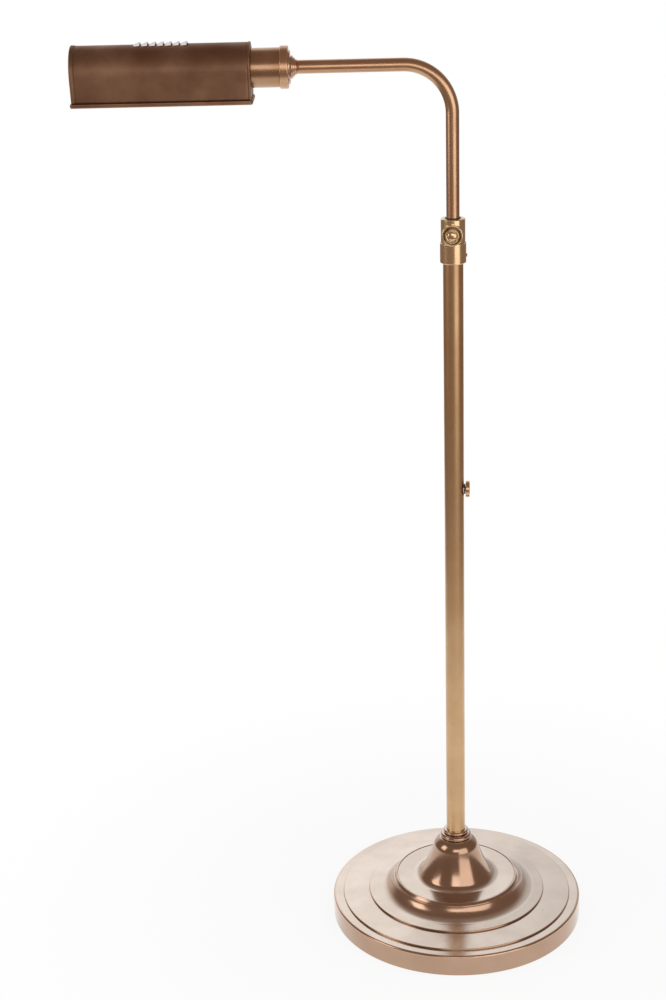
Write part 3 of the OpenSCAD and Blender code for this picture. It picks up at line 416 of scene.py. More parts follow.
class Wire:
    """A socket of a material's nodes that takes part in Python sums: each operator adds one Math node."""

    def __init__(self, tree, socket=None):
        self.tree = tree
        self.socket = socket

    def node(self, kind, settings=None, values=None, out=0):
        """Adds a node: settings first, then values or wires to its sockets. Gives one output."""
        made = self.tree.nodes.new(kind)
        for key, value in (settings or {}).items():
            setattr(made, key, value)
        for key, value in (values or {}).items():
            if isinstance(value, Wire):
                self.tree.links.new(value.socket, made.inputs[key])
            else:
                made.inputs[key].default_value = value
        return Wire(self.tree, made.outputs[out] if made.outputs else None)

    def other(self, name):
        """Another output of the same node."""
        return Wire(self.tree, self.socket.node.outputs[name])

    def parts(self):
        """The x, y and z of this vector."""
        split = self.node("ShaderNodeSeparateXYZ", None, {0: self})
        return [split.other(axis) for axis in "XYZ"]

    def along(self, way):
        """How far this direction points along another one."""
        return self.node("ShaderNodeVectorMath", {"operation": "DOT_PRODUCT"}, {0: self, 1: tuple(way)},
                         out="Value")

    def math(self, operation, first, second):
        """One Math node on two values or wires."""
        return self.node("ShaderNodeMath", {"operation": operation}, {0: first, 1: second})

    def __add__(self, other):
        return self.math("ADD", self, other)

    def __radd__(self, other):
        return self.math("ADD", other, self)

    def __sub__(self, other):
        return self.math("SUBTRACT", self, other)

    def __rsub__(self, other):
        return self.math("SUBTRACT", other, self)

    def __mul__(self, other):
        return self.math("MULTIPLY", self, other)

    def __rmul__(self, other):
        return self.math("MULTIPLY", other, self)

    def __pow__(self, other):
        return self.math("POWER", self, other)

    def at_least(self, other):
        """The larger of two values."""
        return self.math("MAXIMUM", self, other)

    def step(self, start, end):
        """A smooth step from 0 to 1 while the value goes from start to end."""
        return self.node("ShaderNodeMapRange", {"interpolation_type": "SMOOTHSTEP"},
                         {"Value": self, "From Min": start, "From Max": end})

    def mix(self, first, second):
        """A colour that goes from the first to the second as this value goes from 0 to 1."""
        return self.node("ShaderNodeMix", {"data_type": "RGBA"}, {0: self, 6: first, 7: second}, out=2)

    def noise(self, scale, detail=3.0, roughness=0.55):
        """Cloudy noise on this vector."""
        return self.node("ShaderNodeTexNoise", None,
                         {"Vector": self, "Scale": scale, "Detail": detail, "Roughness": roughness})

    def bump(self, strength, depth):
        """A normal from this value as a height."""
        return self.node("ShaderNodeBump", None, {"Height": self, "Strength": strength, "Distance": depth})


def rgba(colour, level=1.0):
    """A colour at a level, with full alpha."""
    return (*[level * part for part in colour], 1.0)


def new_material(name):
    """A material with an empty tree, the wire that starts its nodes, and the place on the object."""
    material = bpy.data.materials.new(name)
    material.use_nodes = True
    material.node_tree.nodes.clear()
    start = Wire(material.node_tree)
    return material, start, start.node("ShaderNodeTexCoord", out="Object")


def surface(material, start, values):
    """Joins a Principled shader with these values to the material's output."""
    shader = start.node("ShaderNodeBsdfPrincipled", None, values)
    start.node("ShaderNodeOutputMaterial", None, {"Surface": shader})
    return material


def turned_lines(at, place, fine=900, slow=12):
    """Noise in fine rings round a piece's axis: it varies quickly with the distance from the axis and along
    it, and slowly across."""
    local = at.node("ShaderNodeMapping", {"vector_type": "POINT"}, {
        "Vector": at.node("ShaderNodeVectorMath", {"operation": "SUBTRACT"}, {0: at, 1: tuple(place.origin)}),
        "Rotation": Vector(place.turn[2]).rotation_difference(Vector((0, 0, 1))).to_euler()})
    x, y, z = local.parts()
    ring = (x * x + y * y) ** 0.5
    rings = at.node("ShaderNodeCombineXYZ", None, {0: ring * fine, 1: z * fine, 2: (x + y) * slow})
    return rings.noise(1.0, detail=2.0)


def aged_brass(name, colour, patina, place=UPRIGHT, rough=0.28, cloud=0.35, coat=0.4, relief=0.12, flats_sheen=None,
               louvre_glint=None):
    """Aged brass: a cloudy patina, small stains, fine rings from the lathe, bright rubbed edges (on the shade
    caps also a painted highlight) and dark corners (in the marked recess a painted shade), under a thin
    lacquer. Relief is the strength of the rings; level faces that look up get a paler painted sheen, and
    edge mark 2 a pale painted highlight."""
    material, start, at = new_material(name)
    broad = at.noise(16, detail=4.0).step(0.30, 0.72)
    small = at.noise(95, detail=4.0, roughness=0.65)
    stain = at.noise(260, detail=2.0).step(0.66, 0.78) * small.step(0.45, 0.65)
    lines = turned_lines(at, place)
    edge = start.node("ShaderNodeAttribute", {"attribute_name": "edge"}, out="Fac")
    # rubbed bright edges; on the shade caps' bends they are also a painted highlight
    worn_and_glint = edge.step(0.2, 1.0) * small.step(0.25, 0.55)
    corner = (0 - edge).step(0.2, 1.0)
    tone = rgba(colour)
    # faces that look up take the paler flats colour: a painted sheen
    if flats_sheen:
        upward = start.node("ShaderNodeTexCoord", out="Normal").parts()[2]
        tone = upward.step(0.80, 0.99).mix(tone, rgba(flats_sheen))
    tone = ((1 - broad) * cloud).mix(tone, rgba([part * part for part in colour]))
    # stains and inward corners take the dark patina; a recess marked all over takes it as a painted shade
    tone = (stain * 0.35 + corner * 0.8).mix(tone, rgba(patina))
    tone = (worn_and_glint * 0.5).mix(tone, rgba([min(1.0, 1.45 * part) for part in colour]))
    roughness = rough + 0.10 * (small - 0.5) + 0.06 * (1 - broad) + 0.10 * stain - 0.06 * worn_and_glint
    metallic = 1.0
    # edge mark 2 turns pale and barely metallic: a painted highlight on the raised louvres
    if louvre_glint:
        glint_mask = edge.step(1.2, 1.9)
        tone = glint_mask.mix(tone, rgba(louvre_glint))
        metallic = 1 - 0.9 * glint_mask
    height = lines * 0.6 + small * 0.4
    return surface(material, start, {
        "Base Color": tone, "Metallic": metallic, "Roughness": roughness, "Coat Weight": coat,
        "Coat Roughness": 0.12, "Coat IOR": 1.5, "Normal": height.bump(relief, 0.1 * MM)})


def turned_metal(name, colour, rough):
    """Plain metal fittings: fine rings from the lathe and a faint change of tone."""
    material, start, at = new_material(name)
    cloud = at.noise(120, detail=3.0)
    lines = turned_lines(at, UPRIGHT)
    tone = cloud.mix(rgba(colour, 0.75), rgba(colour, 1.1))
    return surface(material, start, {
        "Base Color": tone, "Metallic": 1.0, "Roughness": rough + 0.15 * (lines - 0.5),
        "Normal": lines.bump(0.15, 0.05 * MM)})


def grainy(name, colour, rough, scale, depth, variation=0.25):
    """Cast, moulded or felted stuff: an even colour with grain of one scale in its tone and height."""
    material, start, at = new_material(name)
    grain = at.noise(scale, detail=5.0, roughness=0.7)
    cloud = at.noise(scale / 20, detail=2.0)
    tone = (grain * 0.6 + cloud * 0.4).mix(rgba(colour, 1 - variation), rgba(colour, 1 + variation))
    return surface(material, start, {
        "Base Color": tone, "Roughness": rough + 0.12 * (cloud - 0.5), "Normal": grain.bump(0.4, depth)})


def glazed(name, colour, rough, coat):
    """Glazed porcelain or opal glass: a faint cloud in the white, under a clear gloss."""
    material, start, at = new_material(name)
    cloud = at.noise(70, detail=2.0)
    tone = cloud.mix(rgba(colour, 0.94), rgba(colour, 1.03))
    return surface(material, start, {
        "Base Color": tone, "Roughness": rough + 0.05 * (cloud - 0.5), "Coat Weight": coat,
        "Coat Roughness": 0.05, "Normal": cloud.bump(0.05, 0.1 * MM)})


def finish(key):
    """The named finish, made once."""
    colours = bpy.context.scene.lamp_finishes
    patina = colours.patina
    makers = {
        "base": lambda: aged_brass("aged_brass_base", colours.base, patina, rough=0.18, cloud=0.18,
                                   flats_sheen=colours.flats_sheen, coat=0.6),
        "bell": lambda: aged_brass("aged_brass_bell", colours.base, patina, rough=0.13, cloud=0.18,
                                   flats_sheen=colours.flats_sheen, coat=0.6),
        "stem": lambda: aged_brass("aged_brass_stem", colours.stem, patina, rough=0.30),
        "collar": lambda: aged_brass("aged_brass_collar", colours.clamp, patina, rough=0.20, relief=0.03),
        "clamp": lambda: aged_brass("aged_brass_clamp", colours.clamp, patina, CLAMP, rough=0.16,
                                    relief=0.04),
        "switch": lambda: aged_brass("aged_brass_switch", colours.stem, patina, SWITCH, rough=0.28),
        "arm": lambda: aged_brass("aged_brass_arm", colours.arm, patina, ALONG_ARM, rough=0.26, relief=0.05),
        # the cup's finish is the arm's brass darkened: a painted shade
        "cup": lambda: aged_brass("aged_brass_cup", colours.cup, patina, ALONG_ARM, rough=0.26, cloud=0.6,
                                  relief=0.05),
        "shade": lambda: aged_brass("dark_bronze_shade", colours.shade, patina, ALONG_ARM, rough=0.54,
                                    cloud=0.6, coat=0.15, louvre_glint=colours.louvre_glint),
        "turned": lambda: turned_metal("turned_brass", colours.turned, rough=0.3),
        "steel": lambda: turned_metal("plated_steel", colours.steel, rough=0.35),
        "dark_steel": lambda: turned_metal("dark_steel", colours.dark_steel, rough=0.4),
        "iron": lambda: grainy("cast_iron", colours.iron, rough=0.75, scale=900, depth=0.4 * MM),
        "felt": lambda: grainy("felt", colours.felt, rough=0.95, scale=1600, depth=0.5 * MM, variation=0.5),
        "black": lambda: grainy("black_plastic", colours.black, rough=0.45, scale=1500, depth=0.05 * MM),
        "brown": lambda: grainy("brown_plastic", colours.brown, rough=0.45, scale=1500, depth=0.05 * MM),
        "nylon": lambda: grainy("nylon", colours.nylon, rough=0.4, scale=1200, depth=0.05 * MM,
                                variation=0.08),
        "porcelain": lambda: glazed("porcelain", colours.porcelain, rough=0.3, coat=0.8),
        "opal": lambda: glazed("opal_glass", colours.opal, rough=0.25, coat=0.5),
    }
    name = f"finish_{key}"
    kept = bpy.context.scene.get(name)
    if kept is None:
        kept = makers[key]()
        bpy.context.scene[name] = kept
    return kept


def turned_piece(name, place, rows, key, body, node, turns=96, closed=True):
    """Makes a piece turned about a place's axis, in a named finish, instead of one node."""
    piece(name, lathe(place, rows, turns, closed), finish(key), body, [node])


class LAMP_OT_base_pan(bpy.types.Operator):
    """Spun base pan: wall, ledge, two steps, cove and seat, turned about the pole's axis"""

    bl_idname = "lamp.base_pan"
    bl_label = "Base pan"

    def execute(self, context):
        size = context.scene.lamp_base
        sheet, (foot, seat) = size.sheet, span("base_pan", "z")
        edge1, edge2 = size.radius - size.ledge, size.radius - size.ledge - size.deck
        deck1 = foot + size.wall
        deck2 = deck1 + size.step1
        deck2_in = deck2 + size.deck_rise
        deck3 = deck2_in + size.step2
        deck3_in = deck3 + size.inner_rise
        sweep = math.degrees(math.acos(1 - (seat - deck3_in) / size.cove))
        under = math.degrees(math.acos((size.cove - seat + deck3_in + sheet) / (size.cove + sheet)))
        cove_in = high("base_bell", "x") + size.cove_gap
        cove = (cove_in + size.cove * math.sin(math.radians(sweep)), deck3_in + size.cove)
        seat_in = high("base_bell", "x") - size.seat_w
        crease = 0.12 * MM
        rows = [
            (size.radius, foot, 0.5 * MM), (size.radius, deck1, size.rim_round), (edge1, deck1, crease),
            (edge1, deck2, size.step_round), (edge2, deck2_in, crease), (edge2, deck3, size.step_round),
            arc(cove, size.cove, -90, -90 - sweep), (seat_in, seat, 0), (seat_in, seat - sheet, 0),
            arc(cove, size.cove + sheet, -90 - under, -90), (edge2 - sheet, deck3 - sheet, 0),
            (edge2 - sheet, deck2_in - sheet, 0), (edge1 - sheet, deck2 - sheet, 0),
            (edge1 - sheet, deck1 - sheet, 0), (size.radius - sheet, deck1 - sheet, sheet),
            (size.radius - sheet, foot, 0.3 * MM)]
        turned_piece("base_pan_spun", UPRIGHT, rows, "base", "stand", "base_pan", turns=224)
        return {"FINISHED"}


class LAMP_OT_base_bell(bpy.types.Operator):
    """Spun bell: lip, groove, flat ring, flare, hollow side and shoulder, turned about the pole's axis"""

    bl_idname = "lamp.base_bell"
    bl_label = "Base bell"

    def execute(self, context):
        size = context.scene.lamp_base
        sheet, (seat, neck) = size.sheet, span("base_bell", "z")
        lip, top = high("base_bell", "x"), seat + size.lip_h
        ring = top - size.lip_over
        bevel = size.lip_w - size.lip_land
        inner = lip - size.lip_w
        flare = (size.flare_foot, ring + size.flare)
        beyond, turn = size.hollow - size.flare, size.hollow + size.shoulder
        hollow = (flare[0] + beyond * math.sin(size.flare_slope),
                  flare[1] + beyond * math.cos(size.flare_slope))
        shoulder = (hollow[0] - turn * math.sin(size.slope), hollow[1] - turn * math.cos(size.slope))
        low_side, high_side = -90 - math.degrees(size.flare_slope), -90 - math.degrees(size.slope)
        start = 180 + high_side
        end = math.degrees(math.asin((neck - shoulder[1]) / size.shoulder))
        under = math.degrees(math.asin((neck - shoulder[1] - sheet) / (size.shoulder - sheet)))
        bore = size.nipple_bore
        soft, fine = 0.45 * MM, 0.15 * MM
        rows = [
            (lip, seat, fine), (lip, seat + size.lip_foot, soft), (lip - bevel, top, soft),
            (inner + size.groove_w, top, fine), (inner + size.groove_w, ring - size.groove_h, fine),
            (inner, ring - size.groove_h, fine), (inner, ring, fine),
            arc(flare, size.flare, -90, low_side), arc(hollow, size.hollow, low_side, high_side)[1:],
            arc(shoulder, size.shoulder, start, end)[1:], (bore, neck, 0), (bore, neck - sheet, 0),
            arc(shoulder, size.shoulder - sheet, under, start),
            arc(hollow, size.hollow + sheet, high_side, low_side)[1:],
            arc(flare, size.flare + sheet, low_side, -90)[1:], (lip - sheet - bevel, ring - sheet, 0),
            (lip - sheet, seat + size.lip_foot / 2, 0), (lip - sheet, seat, 0)]
        turned_piece("base_bell_spun", UPRIGHT, rows, "bell", "stand", "base_bell", turns=192)
        return {"FINISHED"}


class LAMP_OT_base_foot(bpy.types.Operator):
    """Felt pad under the base and the bush for the flex in its rim, both turned"""

    bl_idname = "lamp.base_foot"
    bl_label = "Felt pad and rim bush"

    def execute(self, context):
        size, soft = context.scene.lamp_base, 0.6 * MM
        radius, top = high("base_felt", "x"), high("base_felt", "z")
        rows = [(0, 0, 0), (radius, 0, soft), (radius, top, soft), (0, top, 0)]
        turned_piece("felt_pad", UPRIGHT, rows, "felt", "stand", "base_felt", turns=160, closed=False)
        mount = next(m for m in frame["record"]["mounts"] if m["name"] == "cord_inlet")
        bore = mount["dims"]["r_mm"] * MM
        middle = mount["pos_m"][2]
        flange_r = high("cord_bush", "x")
        barrel, flange = flange_r - size.bush_step, size.bush_flange
        start, end = span("cord_bush", "y")
        inner = start + size.bush_tail
        place = Place((0, 0, middle), (0, 1, 0), (0, 0, 1))
        rows = [
            (bore, start, 0.4 * MM), (barrel, start, soft), (barrel, inner, 0), (flange_r, inner, soft),
            (flange_r, inner + flange, soft), (barrel, inner + flange, 0), (barrel, end - flange, 0),
            (flange_r, end - flange, soft), (flange_r, end, 1.0 * MM), (bore, end, 0.7 * MM)]
        turned_piece("rim_bush", place, rows, "brown", "stand", "cord_bush", turns=64)
        return {"FINISHED"}


class LAMP_OT_neck_ring(bpy.types.Operator):
    """Neck ring of two half-round beads, turned about the pole's axis"""

    bl_idname = "lamp.neck_ring"
    bl_label = "Neck ring"

    def execute(self, context):
        size = context.scene.lamp_base
        (foot, top), radius = span("neck_ring", "z"), high("neck_ring", "x")
        bead1, bead2 = size.bead1 / 2, size.bead2 / 2
        groove = size.bead2_r - size.bead_waist
        bore, floor = high("pole", "x"), low("pole", "z")
        rows = [
            (size.nipple_bore, foot, 0), arc((radius - bead1, foot + bead1), bead1, -90, 90, 18),
            (groove, foot + size.bead1, 0.1 * MM), (groove, top - size.bead2, 0.1 * MM),
            arc((size.bead2_r - bead2, top - bead2), bead2, -90, 90, 18),
            (bore, top, 0.1 * MM), (bore, floor, 0), (size.nipple_bore, floor, 0)]
        turned_piece("neck_ring_turned", UPRIGHT, rows, "bell", "stand", "neck_ring")
        return {"FINISHED"}


class LAMP_OT_pole(bpy.types.Operator):
    """Drawn tube of the pole, a ring outline turned about its axis"""

    bl_idname = "lamp.pole"
    bl_label = "Pole"

    def execute(self, context):
        radius, (foot, top) = high("pole", "x"), span("pole", "z")
        bore = radius - context.scene.lamp_stem.pole_wall
        soft = 0.3 * MM
        rows = [(radius, foot, soft), (radius, top, soft), (bore, top, soft), (bore, foot, soft)]
        turned_piece("pole_tube", UPRIGHT, rows, "stem", "stand", "pole")
        return {"FINISHED"}


class LAMP_OT_clamp_collar(bpy.types.Operator):
    """Clamp collar: skirt and body turned about the pole, boss and recess turned about the clamp screw,
    and the liner bush in its mouth"""

    bl_idname = "lamp.clamp_collar"
    bl_label = "Clamp collar"

    def execute(self, context):
        size = context.scene.lamp_stem
        foot, top = span("clamp_collar", "z")
        bevel, soft = size.collar_bevel, 0.5 * MM
        pole_r, pole_top = high("pole", "x"), high("pole", "z")
        liner_foot, liner_top = span("collar_liner", "z")
        way = context.scene.lamp_arm.tube_r + size.run_gap
        root = way + size.boss_root
        rows = [
            (pole_r, foot, 0.2 * MM), (size.skirt_r - bevel, foot, soft), (size.skirt_r, foot + bevel, soft),
            (size.skirt_r, foot + size.skirt_h, soft), (size.collar_r, foot + size.skirt_h + bevel, 0.3 * MM),
            (size.collar_r, top - bevel, soft), (size.collar_r - bevel, top, soft),
            (size.collar_bore, top, 0.2 * MM), (size.collar_bore, liner_foot, 0), (way, liner_foot, 0),
            (way, pole_top, 0), (pole_r, pole_top, 0)]
        rim, floor = size.boss_reach - size.boss_lip, size.boss_reach - size.recess_h
        boss = [
            (0, root, 0), (size.boss_r, root, 0), (size.boss_r, size.boss_reach, 1.0 * MM),
            (size.recess_r, size.boss_reach, 0.6 * MM), (size.recess_r, rim, 0)]
        # the recess floor under the screw head is marked dark all over: a painted shade
        recess = [(size.recess_r, rim, 0), (size.recess_r, floor, 0.25 * MM), (0, floor, 0)]
        shape = joined(lathe(UPRIGHT, rows), lathe(CLAMP, boss, closed=False),
                       painted_shade(lathe(CLAMP, recess, closed=False)))
        piece("clamp_collar_cast", shape, finish("collar"), "stand", ["clamp_collar"])
        fit, edge, lip = 0.03 * MM, 0.1 * MM, 0.34 * MM
        liner_r = size.collar_bore - fit
        rows = [(way, liner_foot, 0), (liner_r, liner_foot, 0), (liner_r, top + edge, edge),
                (way + lip, liner_top, edge), (way, liner_top, 0)]
        turned_piece("liner_bush", UPRIGHT, rows, "black", "stand", "collar_liner")
        return {"FINISHED"}


class LAMP_OT_clamp_screw(bpy.types.Operator):
    """Clamp screw: shank, rounded head, groove and dome, turned about the screw's axis"""

    bl_idname = "lamp.clamp_screw"
    bl_label = "Clamp screw"

    def execute(self, context):
        size = context.scene.lamp_stem
        tip = context.scene.lamp_arm.tube_r + size.screw_tip
        head = size.boss_reach - size.recess_h + size.head_gap
        top, groove = head + size.head_h, size.dome_groove
        angle = np.radians(np.linspace(0, 90, 16))
        dome = np.column_stack([size.dome_r * np.cos(angle),
                                top - groove + size.dome_h * np.sin(angle), np.zeros_like(angle)])
        rows = [
            (0, tip, 0), (size.screw_r, tip, 0.4 * MM), (size.screw_r, head, 0),
            (size.head_r, head, 0.5 * MM), (size.head_r, top, 1.2 * MM),
            (size.dome_r + groove, top, 0.3 * MM), dome]
        turned_piece("clamp_screw_turned", CLAMP, rows, "clamp", "thumb_screw", "clamp_screw",
                     closed=False)
        return {"FINISHED"}


class LAMP_OT_switch(bpy.types.Operator):
    """Switch knob with a dished face and the round nut behind it, turned about the switch's axis"""

    bl_idname = "lamp.switch"
    bl_label = "Switch"

    def execute(self, context):
        size = context.scene.lamp_stem
        nut = high("pole", "x") + size.nut_gap
        nut_top = nut + size.nut_h
        knob = nut_top + size.knob_gap
        face = knob + size.knob_h
        soft = 0.6 * MM
        rows = [
            (0, knob, 0), (size.knob_r - soft, knob, 0.3 * MM), (size.knob_r, knob + soft, 0.4 * MM),
            (size.knob_r, face - soft, 0.4 * MM), (size.knob_r - soft, face, 0.4 * MM),
            (size.dish_out * size.knob_r, face, 0.3 * MM),
            (size.dish_in * size.knob_r, face - size.dish_h, 0.3 * MM), (0, face - size.dish_h, 0)]
        turned_piece("switch_knob_turned", SWITCH, rows, "switch", "switch", "switch_knob",
                     closed=False)
        rows = [(size.nut_bore, nut, 0), (size.nut_r, nut, 0.2 * MM), (size.nut_r, nut_top, 0.3 * MM),
                (size.nut_bore, nut_top, 0)]
        turned_piece("switch_nut_round", SWITCH, rows, "black", "stand", "switch_nut",
                     turns=64)
        return {"FINISHED"}


class LAMP_OT_arm(bpy.types.Operator):
    """Bent arm: a round section carried up the pole's axis, round a quarter bend and out along the arm"""

    bl_idname = "lamp.arm"
    bl_label = "Arm tube"

    def execute(self, context):
        size = context.scene.lamp_arm
        foot, bend_z, end = low("arm_tube", "z"), ARM_Z - size.bend_r, low("arm_tube", "x")
        turn = np.linspace(0, np.pi / 2, 40)
        rise = np.linspace(foot, bend_z, 24)[:-1]
        run = np.linspace(-size.bend_r, end, 16)[1:]
        flat = np.zeros_like
        bend_x, bend_up = size.bend_r * (np.cos(turn) - 1), bend_z + size.bend_r * np.sin(turn)
        path = np.vstack([
            np.column_stack([flat(rise), flat(rise), rise]), np.column_stack([bend_x, flat(turn), bend_up]),
            np.column_stack([run, flat(run), np.full_like(run, ARM_Z)])])
        lean = np.concatenate([flat(rise), turn, np.full_like(run, np.pi / 2)])
        outward = np.column_stack([np.cos(lean), flat(lean), np.sin(lean)])
        angle = np.linspace(0, 2 * np.pi, 64, endpoint=False)
        sideways = np.array([0.0, 1.0, 0.0])
        around = outward[:, None] * np.cos(angle)[:, None] + sideways * np.sin(angle)[:, None]
        skin = path[:, None] + size.tube_r * around
        bore = path[:, None] + (size.tube_r - size.tube_wall) * around
        points = np.concatenate([skin, bore[::-1]]).reshape(-1, 3)
        faces = grid_faces(2 * len(path), len(angle), True, True)
        shape = (points, faces, np.zeros(len(points)))
        piece("arm_tube_bent", shape, finish("arm"), "arm", ["arm_tube"])
        return {"FINISHED"}


class LAMP_OT_swivel(bpy.types.Operator):
    """Ferrule of three rings, flanged back plate and lampholder cup, turned about the arm's axis"""

    bl_idname = "lamp.swivel"
    bl_label = "Swivel and cup"

    def execute(self, context):
        size = context.scene.lamp_arm
        soft, fine = 0.5 * MM, 0.12 * MM
        start, end = arm_span("ferrule")
        third = (end - start) / 3
        rows = [
            (size.tube_r, start, fine), (size.ring1_r, start, soft), (size.ring1_r, start + third, fine),
            (size.ring2_r, start + third, soft), (size.ring2_r, start + 2 * third, fine),
            (size.ring3_r, start + 2 * third, soft), (size.ring3_r, end, soft), (size.nipple_r, end, 0),
            (size.nipple_r, end - third, 0), (size.tube_r, end - third, 0)]
        turned_piece("ferrule_turned", ALONG_ARM, rows, "arm", "arm", "ferrule")
        back, rim = arm_span("back_plate")
        step, radius, cup = back + size.step_h, high("back_plate", "y"), high("holder_cup", "y")
        floor, mouth = arm_span("holder_cup")
        rows = [
            (size.nipple_r, back, 0), (size.step_r, back, soft), (size.step_r, step, fine),
            (radius, step, 0.8 * MM), (radius, rim, 0.8 * MM), (cup, rim, fine), (cup, floor, 0),
            (size.nipple_r, floor, 0)]
        turned_piece("back_plate_turned", ALONG_ARM, rows, "arm", "head", "back_plate")
        bore = cup - size.cup_wall
        rows = [(cup, floor, 0), (cup, mouth, 0.4 * MM), (bore, mouth, 0.2 * MM), (bore, floor, 0)]
        turned_piece("lampholder_cup", ALONG_ARM, rows, "cup", "head", "holder_cup")
        return {"FINISHED"}


def trough(size, radius, drop, round_steps=72, side_steps=10):
    """Section of the shade as (across, up): from one foot up a leaning side to the point where it touches the
    round top, over the top, and down the other side."""
    angle = np.linspace(-size.lean, math.pi + size.lean, round_steps)
    top = radius * np.column_stack([np.cos(angle), np.sin(angle)])
    foot = np.array([top[0, 0] - (drop + top[0, 1]) * math.tan(size.lean), -drop])
    part = np.linspace(0, 1, side_steps)[:-1, None]
    side = foot + (top[0] - foot) * part
    return np.vstack([side, top, side[::-1] * (-1, 1)])


def thicken(made, thickness):
    """Gives a sheet its wall on the inner side."""
    wall = made.modifiers.new("Wall", "SOLIDIFY")
    wall.thickness = thickness
    wall.offset = -1.0
    wall.use_even_offset = True


class LAMP_OT_shade(bpy.types.Operator):
    """Shade shell: the trough section carried along the arm, with louvres pressed out of its top; a louvre's
    height is its rise, times a rounded share across, times an easing share along, and its high end is open"""

    bl_idname = "lamp.shade"
    bl_label = "Shade shell"

    def execute(self, context):
        size = context.scene.lamp_shade
        drop = ARM_Z - low("shade_shell", "z")
        near, far = arm_span("shade_shell")
        middle = (near + far) / 2
        first = middle - size.pitch * (size.louvres - 1) / 2 - size.louvre_w / 2
        starts = first + size.pitch * np.arange(size.louvres)
        part = np.linspace(0, 1, 9)
        ease = np.concatenate([[0], np.cos(part * np.pi / 2) ** 1.2])
        along = (starts[:, None] + size.louvre_w * np.concatenate([[0], part])).ravel()
        lift = np.tile(ease, size.louvres)
        slot = np.tile(np.arange(len(ease)) == 0, size.louvres)
        plain_near, plain_far = np.linspace(near, first, 16)[:-1], np.linspace(far, along[-1], 16)[-2::-1]
        along = np.concatenate([plain_near, along, plain_far])
        lift = np.concatenate([0 * plain_near, lift, 0 * plain_far])
        slot = np.concatenate([0 * plain_near, slot, 0 * plain_far]).astype(bool)
        section = trough(size, size.round_r, drop, round_steps=120)
        spread = np.where(section[:, 1] > 0, np.abs(section[:, 0]) / size.louvre_half, 1)
        raised = np.clip(1 - spread ** 2, 0, 1) ** 0.6
        lifted = size.louvre_rise * raised[:, None] * lift
        across = section[:, 0][:, None] * (1 + lifted / size.round_r)
        up = ARM_Z + section[:, 1][:, None] * (1 + lifted / size.round_r)
        points = np.stack([np.broadcast_to(-along, up.shape), across, up], -1).reshape(-1, 3)
        faces = grid_faces(len(section), len(along), False, False)
        open_row = (raised[:-1] + raised[1:]) > 0
        keep = ~(open_row[:, None] & slot[:-1]).ravel()
        # the raised tops of the louvres get edge mark 2, which takes the painted highlight
        marks = 2.0 * (lifted > 0.05 * size.louvre_rise).ravel()
        made = piece("shade_shell_sheet", (points, faces[keep], marks), finish("shade"), "head",
                     ["shade_shell"], outward_from=(-middle, 0, ARM_Z - drop))
        thicken(made, size.sheet)
        return {"FINISHED"}


class LAMP_OT_shade_caps(bpy.types.Operator):
    """End caps of the shade: the trough section runs along a flange, round a bend and in across a plate to
    a hole or to the middle"""

    bl_idname = "lamp.shade_caps"
    bl_label = "Shade end caps"

    def execute(self, context):
        size = context.scene.lamp_shade
        drop = ARM_Z - low("shade_shell", "z")
        near, far = -high("shade_near_cap", "x"), -low("shade_far_cap", "x")
        hole = high("holder_body", "y") - size.cap_lap
        self.cap("shade_cap_near", "shade_near_cap", near, 1, size.near_flange, hole, drop, size)
        self.cap("shade_cap_far", "shade_far_cap", far, -1, size.far_flange, 0.0, drop, size)
        return {"FINISHED"}

    def cap(self, name, node, plate, inward, flange, hole, drop, size):
        """One cap: flange and bend as one strip, the plate as rings that close in on the hole."""
        outer, bend = size.round_r + size.cap_proud, size.cap_bend
        tuck, run, clear, inside = 0.15 * MM, 0.4 * MM, 0.1 * MM, 50 * MM
        angle = np.linspace(0, np.pi / 2, 7)
        radii = np.concatenate([[size.round_r + tuck, outer], outer - bend + bend * np.cos(angle)])
        depth = np.concatenate([[flange, bend + run], bend - bend * np.sin(angle)])
        strip = np.stack([trough(size, radius, drop) for radius in radii])
        along = np.broadcast_to(-(plate + inward * depth)[:, None], strip.shape[:2])
        strip = np.dstack([along, strip[..., 0], ARM_Z + strip[..., 1]])
        rim = trough(size, outer - bend, drop)
        base = np.linspace(rim[-1], rim[0], 30)[1:-1]
        loop = np.vstack([rim, base])
        heading = np.arctan2(loop[:, 1], loop[:, 0])
        inner = hole * np.column_stack([np.cos(heading), np.sin(heading)])
        part = np.linspace(0, 1, 14)[:, None, None]
        rings = loop + (inner - loop) * part
        rings = np.dstack([np.full(rings.shape[:2], -plate), rings[..., 0], ARM_Z + rings[..., 1]])
        # the bent edges of the caps get the rubbed-edge mark, which brightens them: wear and a painted highlight
        worn_and_glint = np.repeat(np.where(depth < 1.2 * bend, 1.0, 0.0), strip.shape[1])
        shape = joined(
            (strip.reshape(-1, 3), grid_faces(*strip.shape[:2], False, False), worn_and_glint),
            (rings.reshape(-1, 3), grid_faces(*rings.shape[:2], False, True), np.zeros(rings[..., 0].size)))
        made = piece(name, shape, finish("shade"), "head", [node],
                     outward_from=(-plate - inward * inside, 0, ARM_Z))
        thicken(made, size.cap_proud - clear)


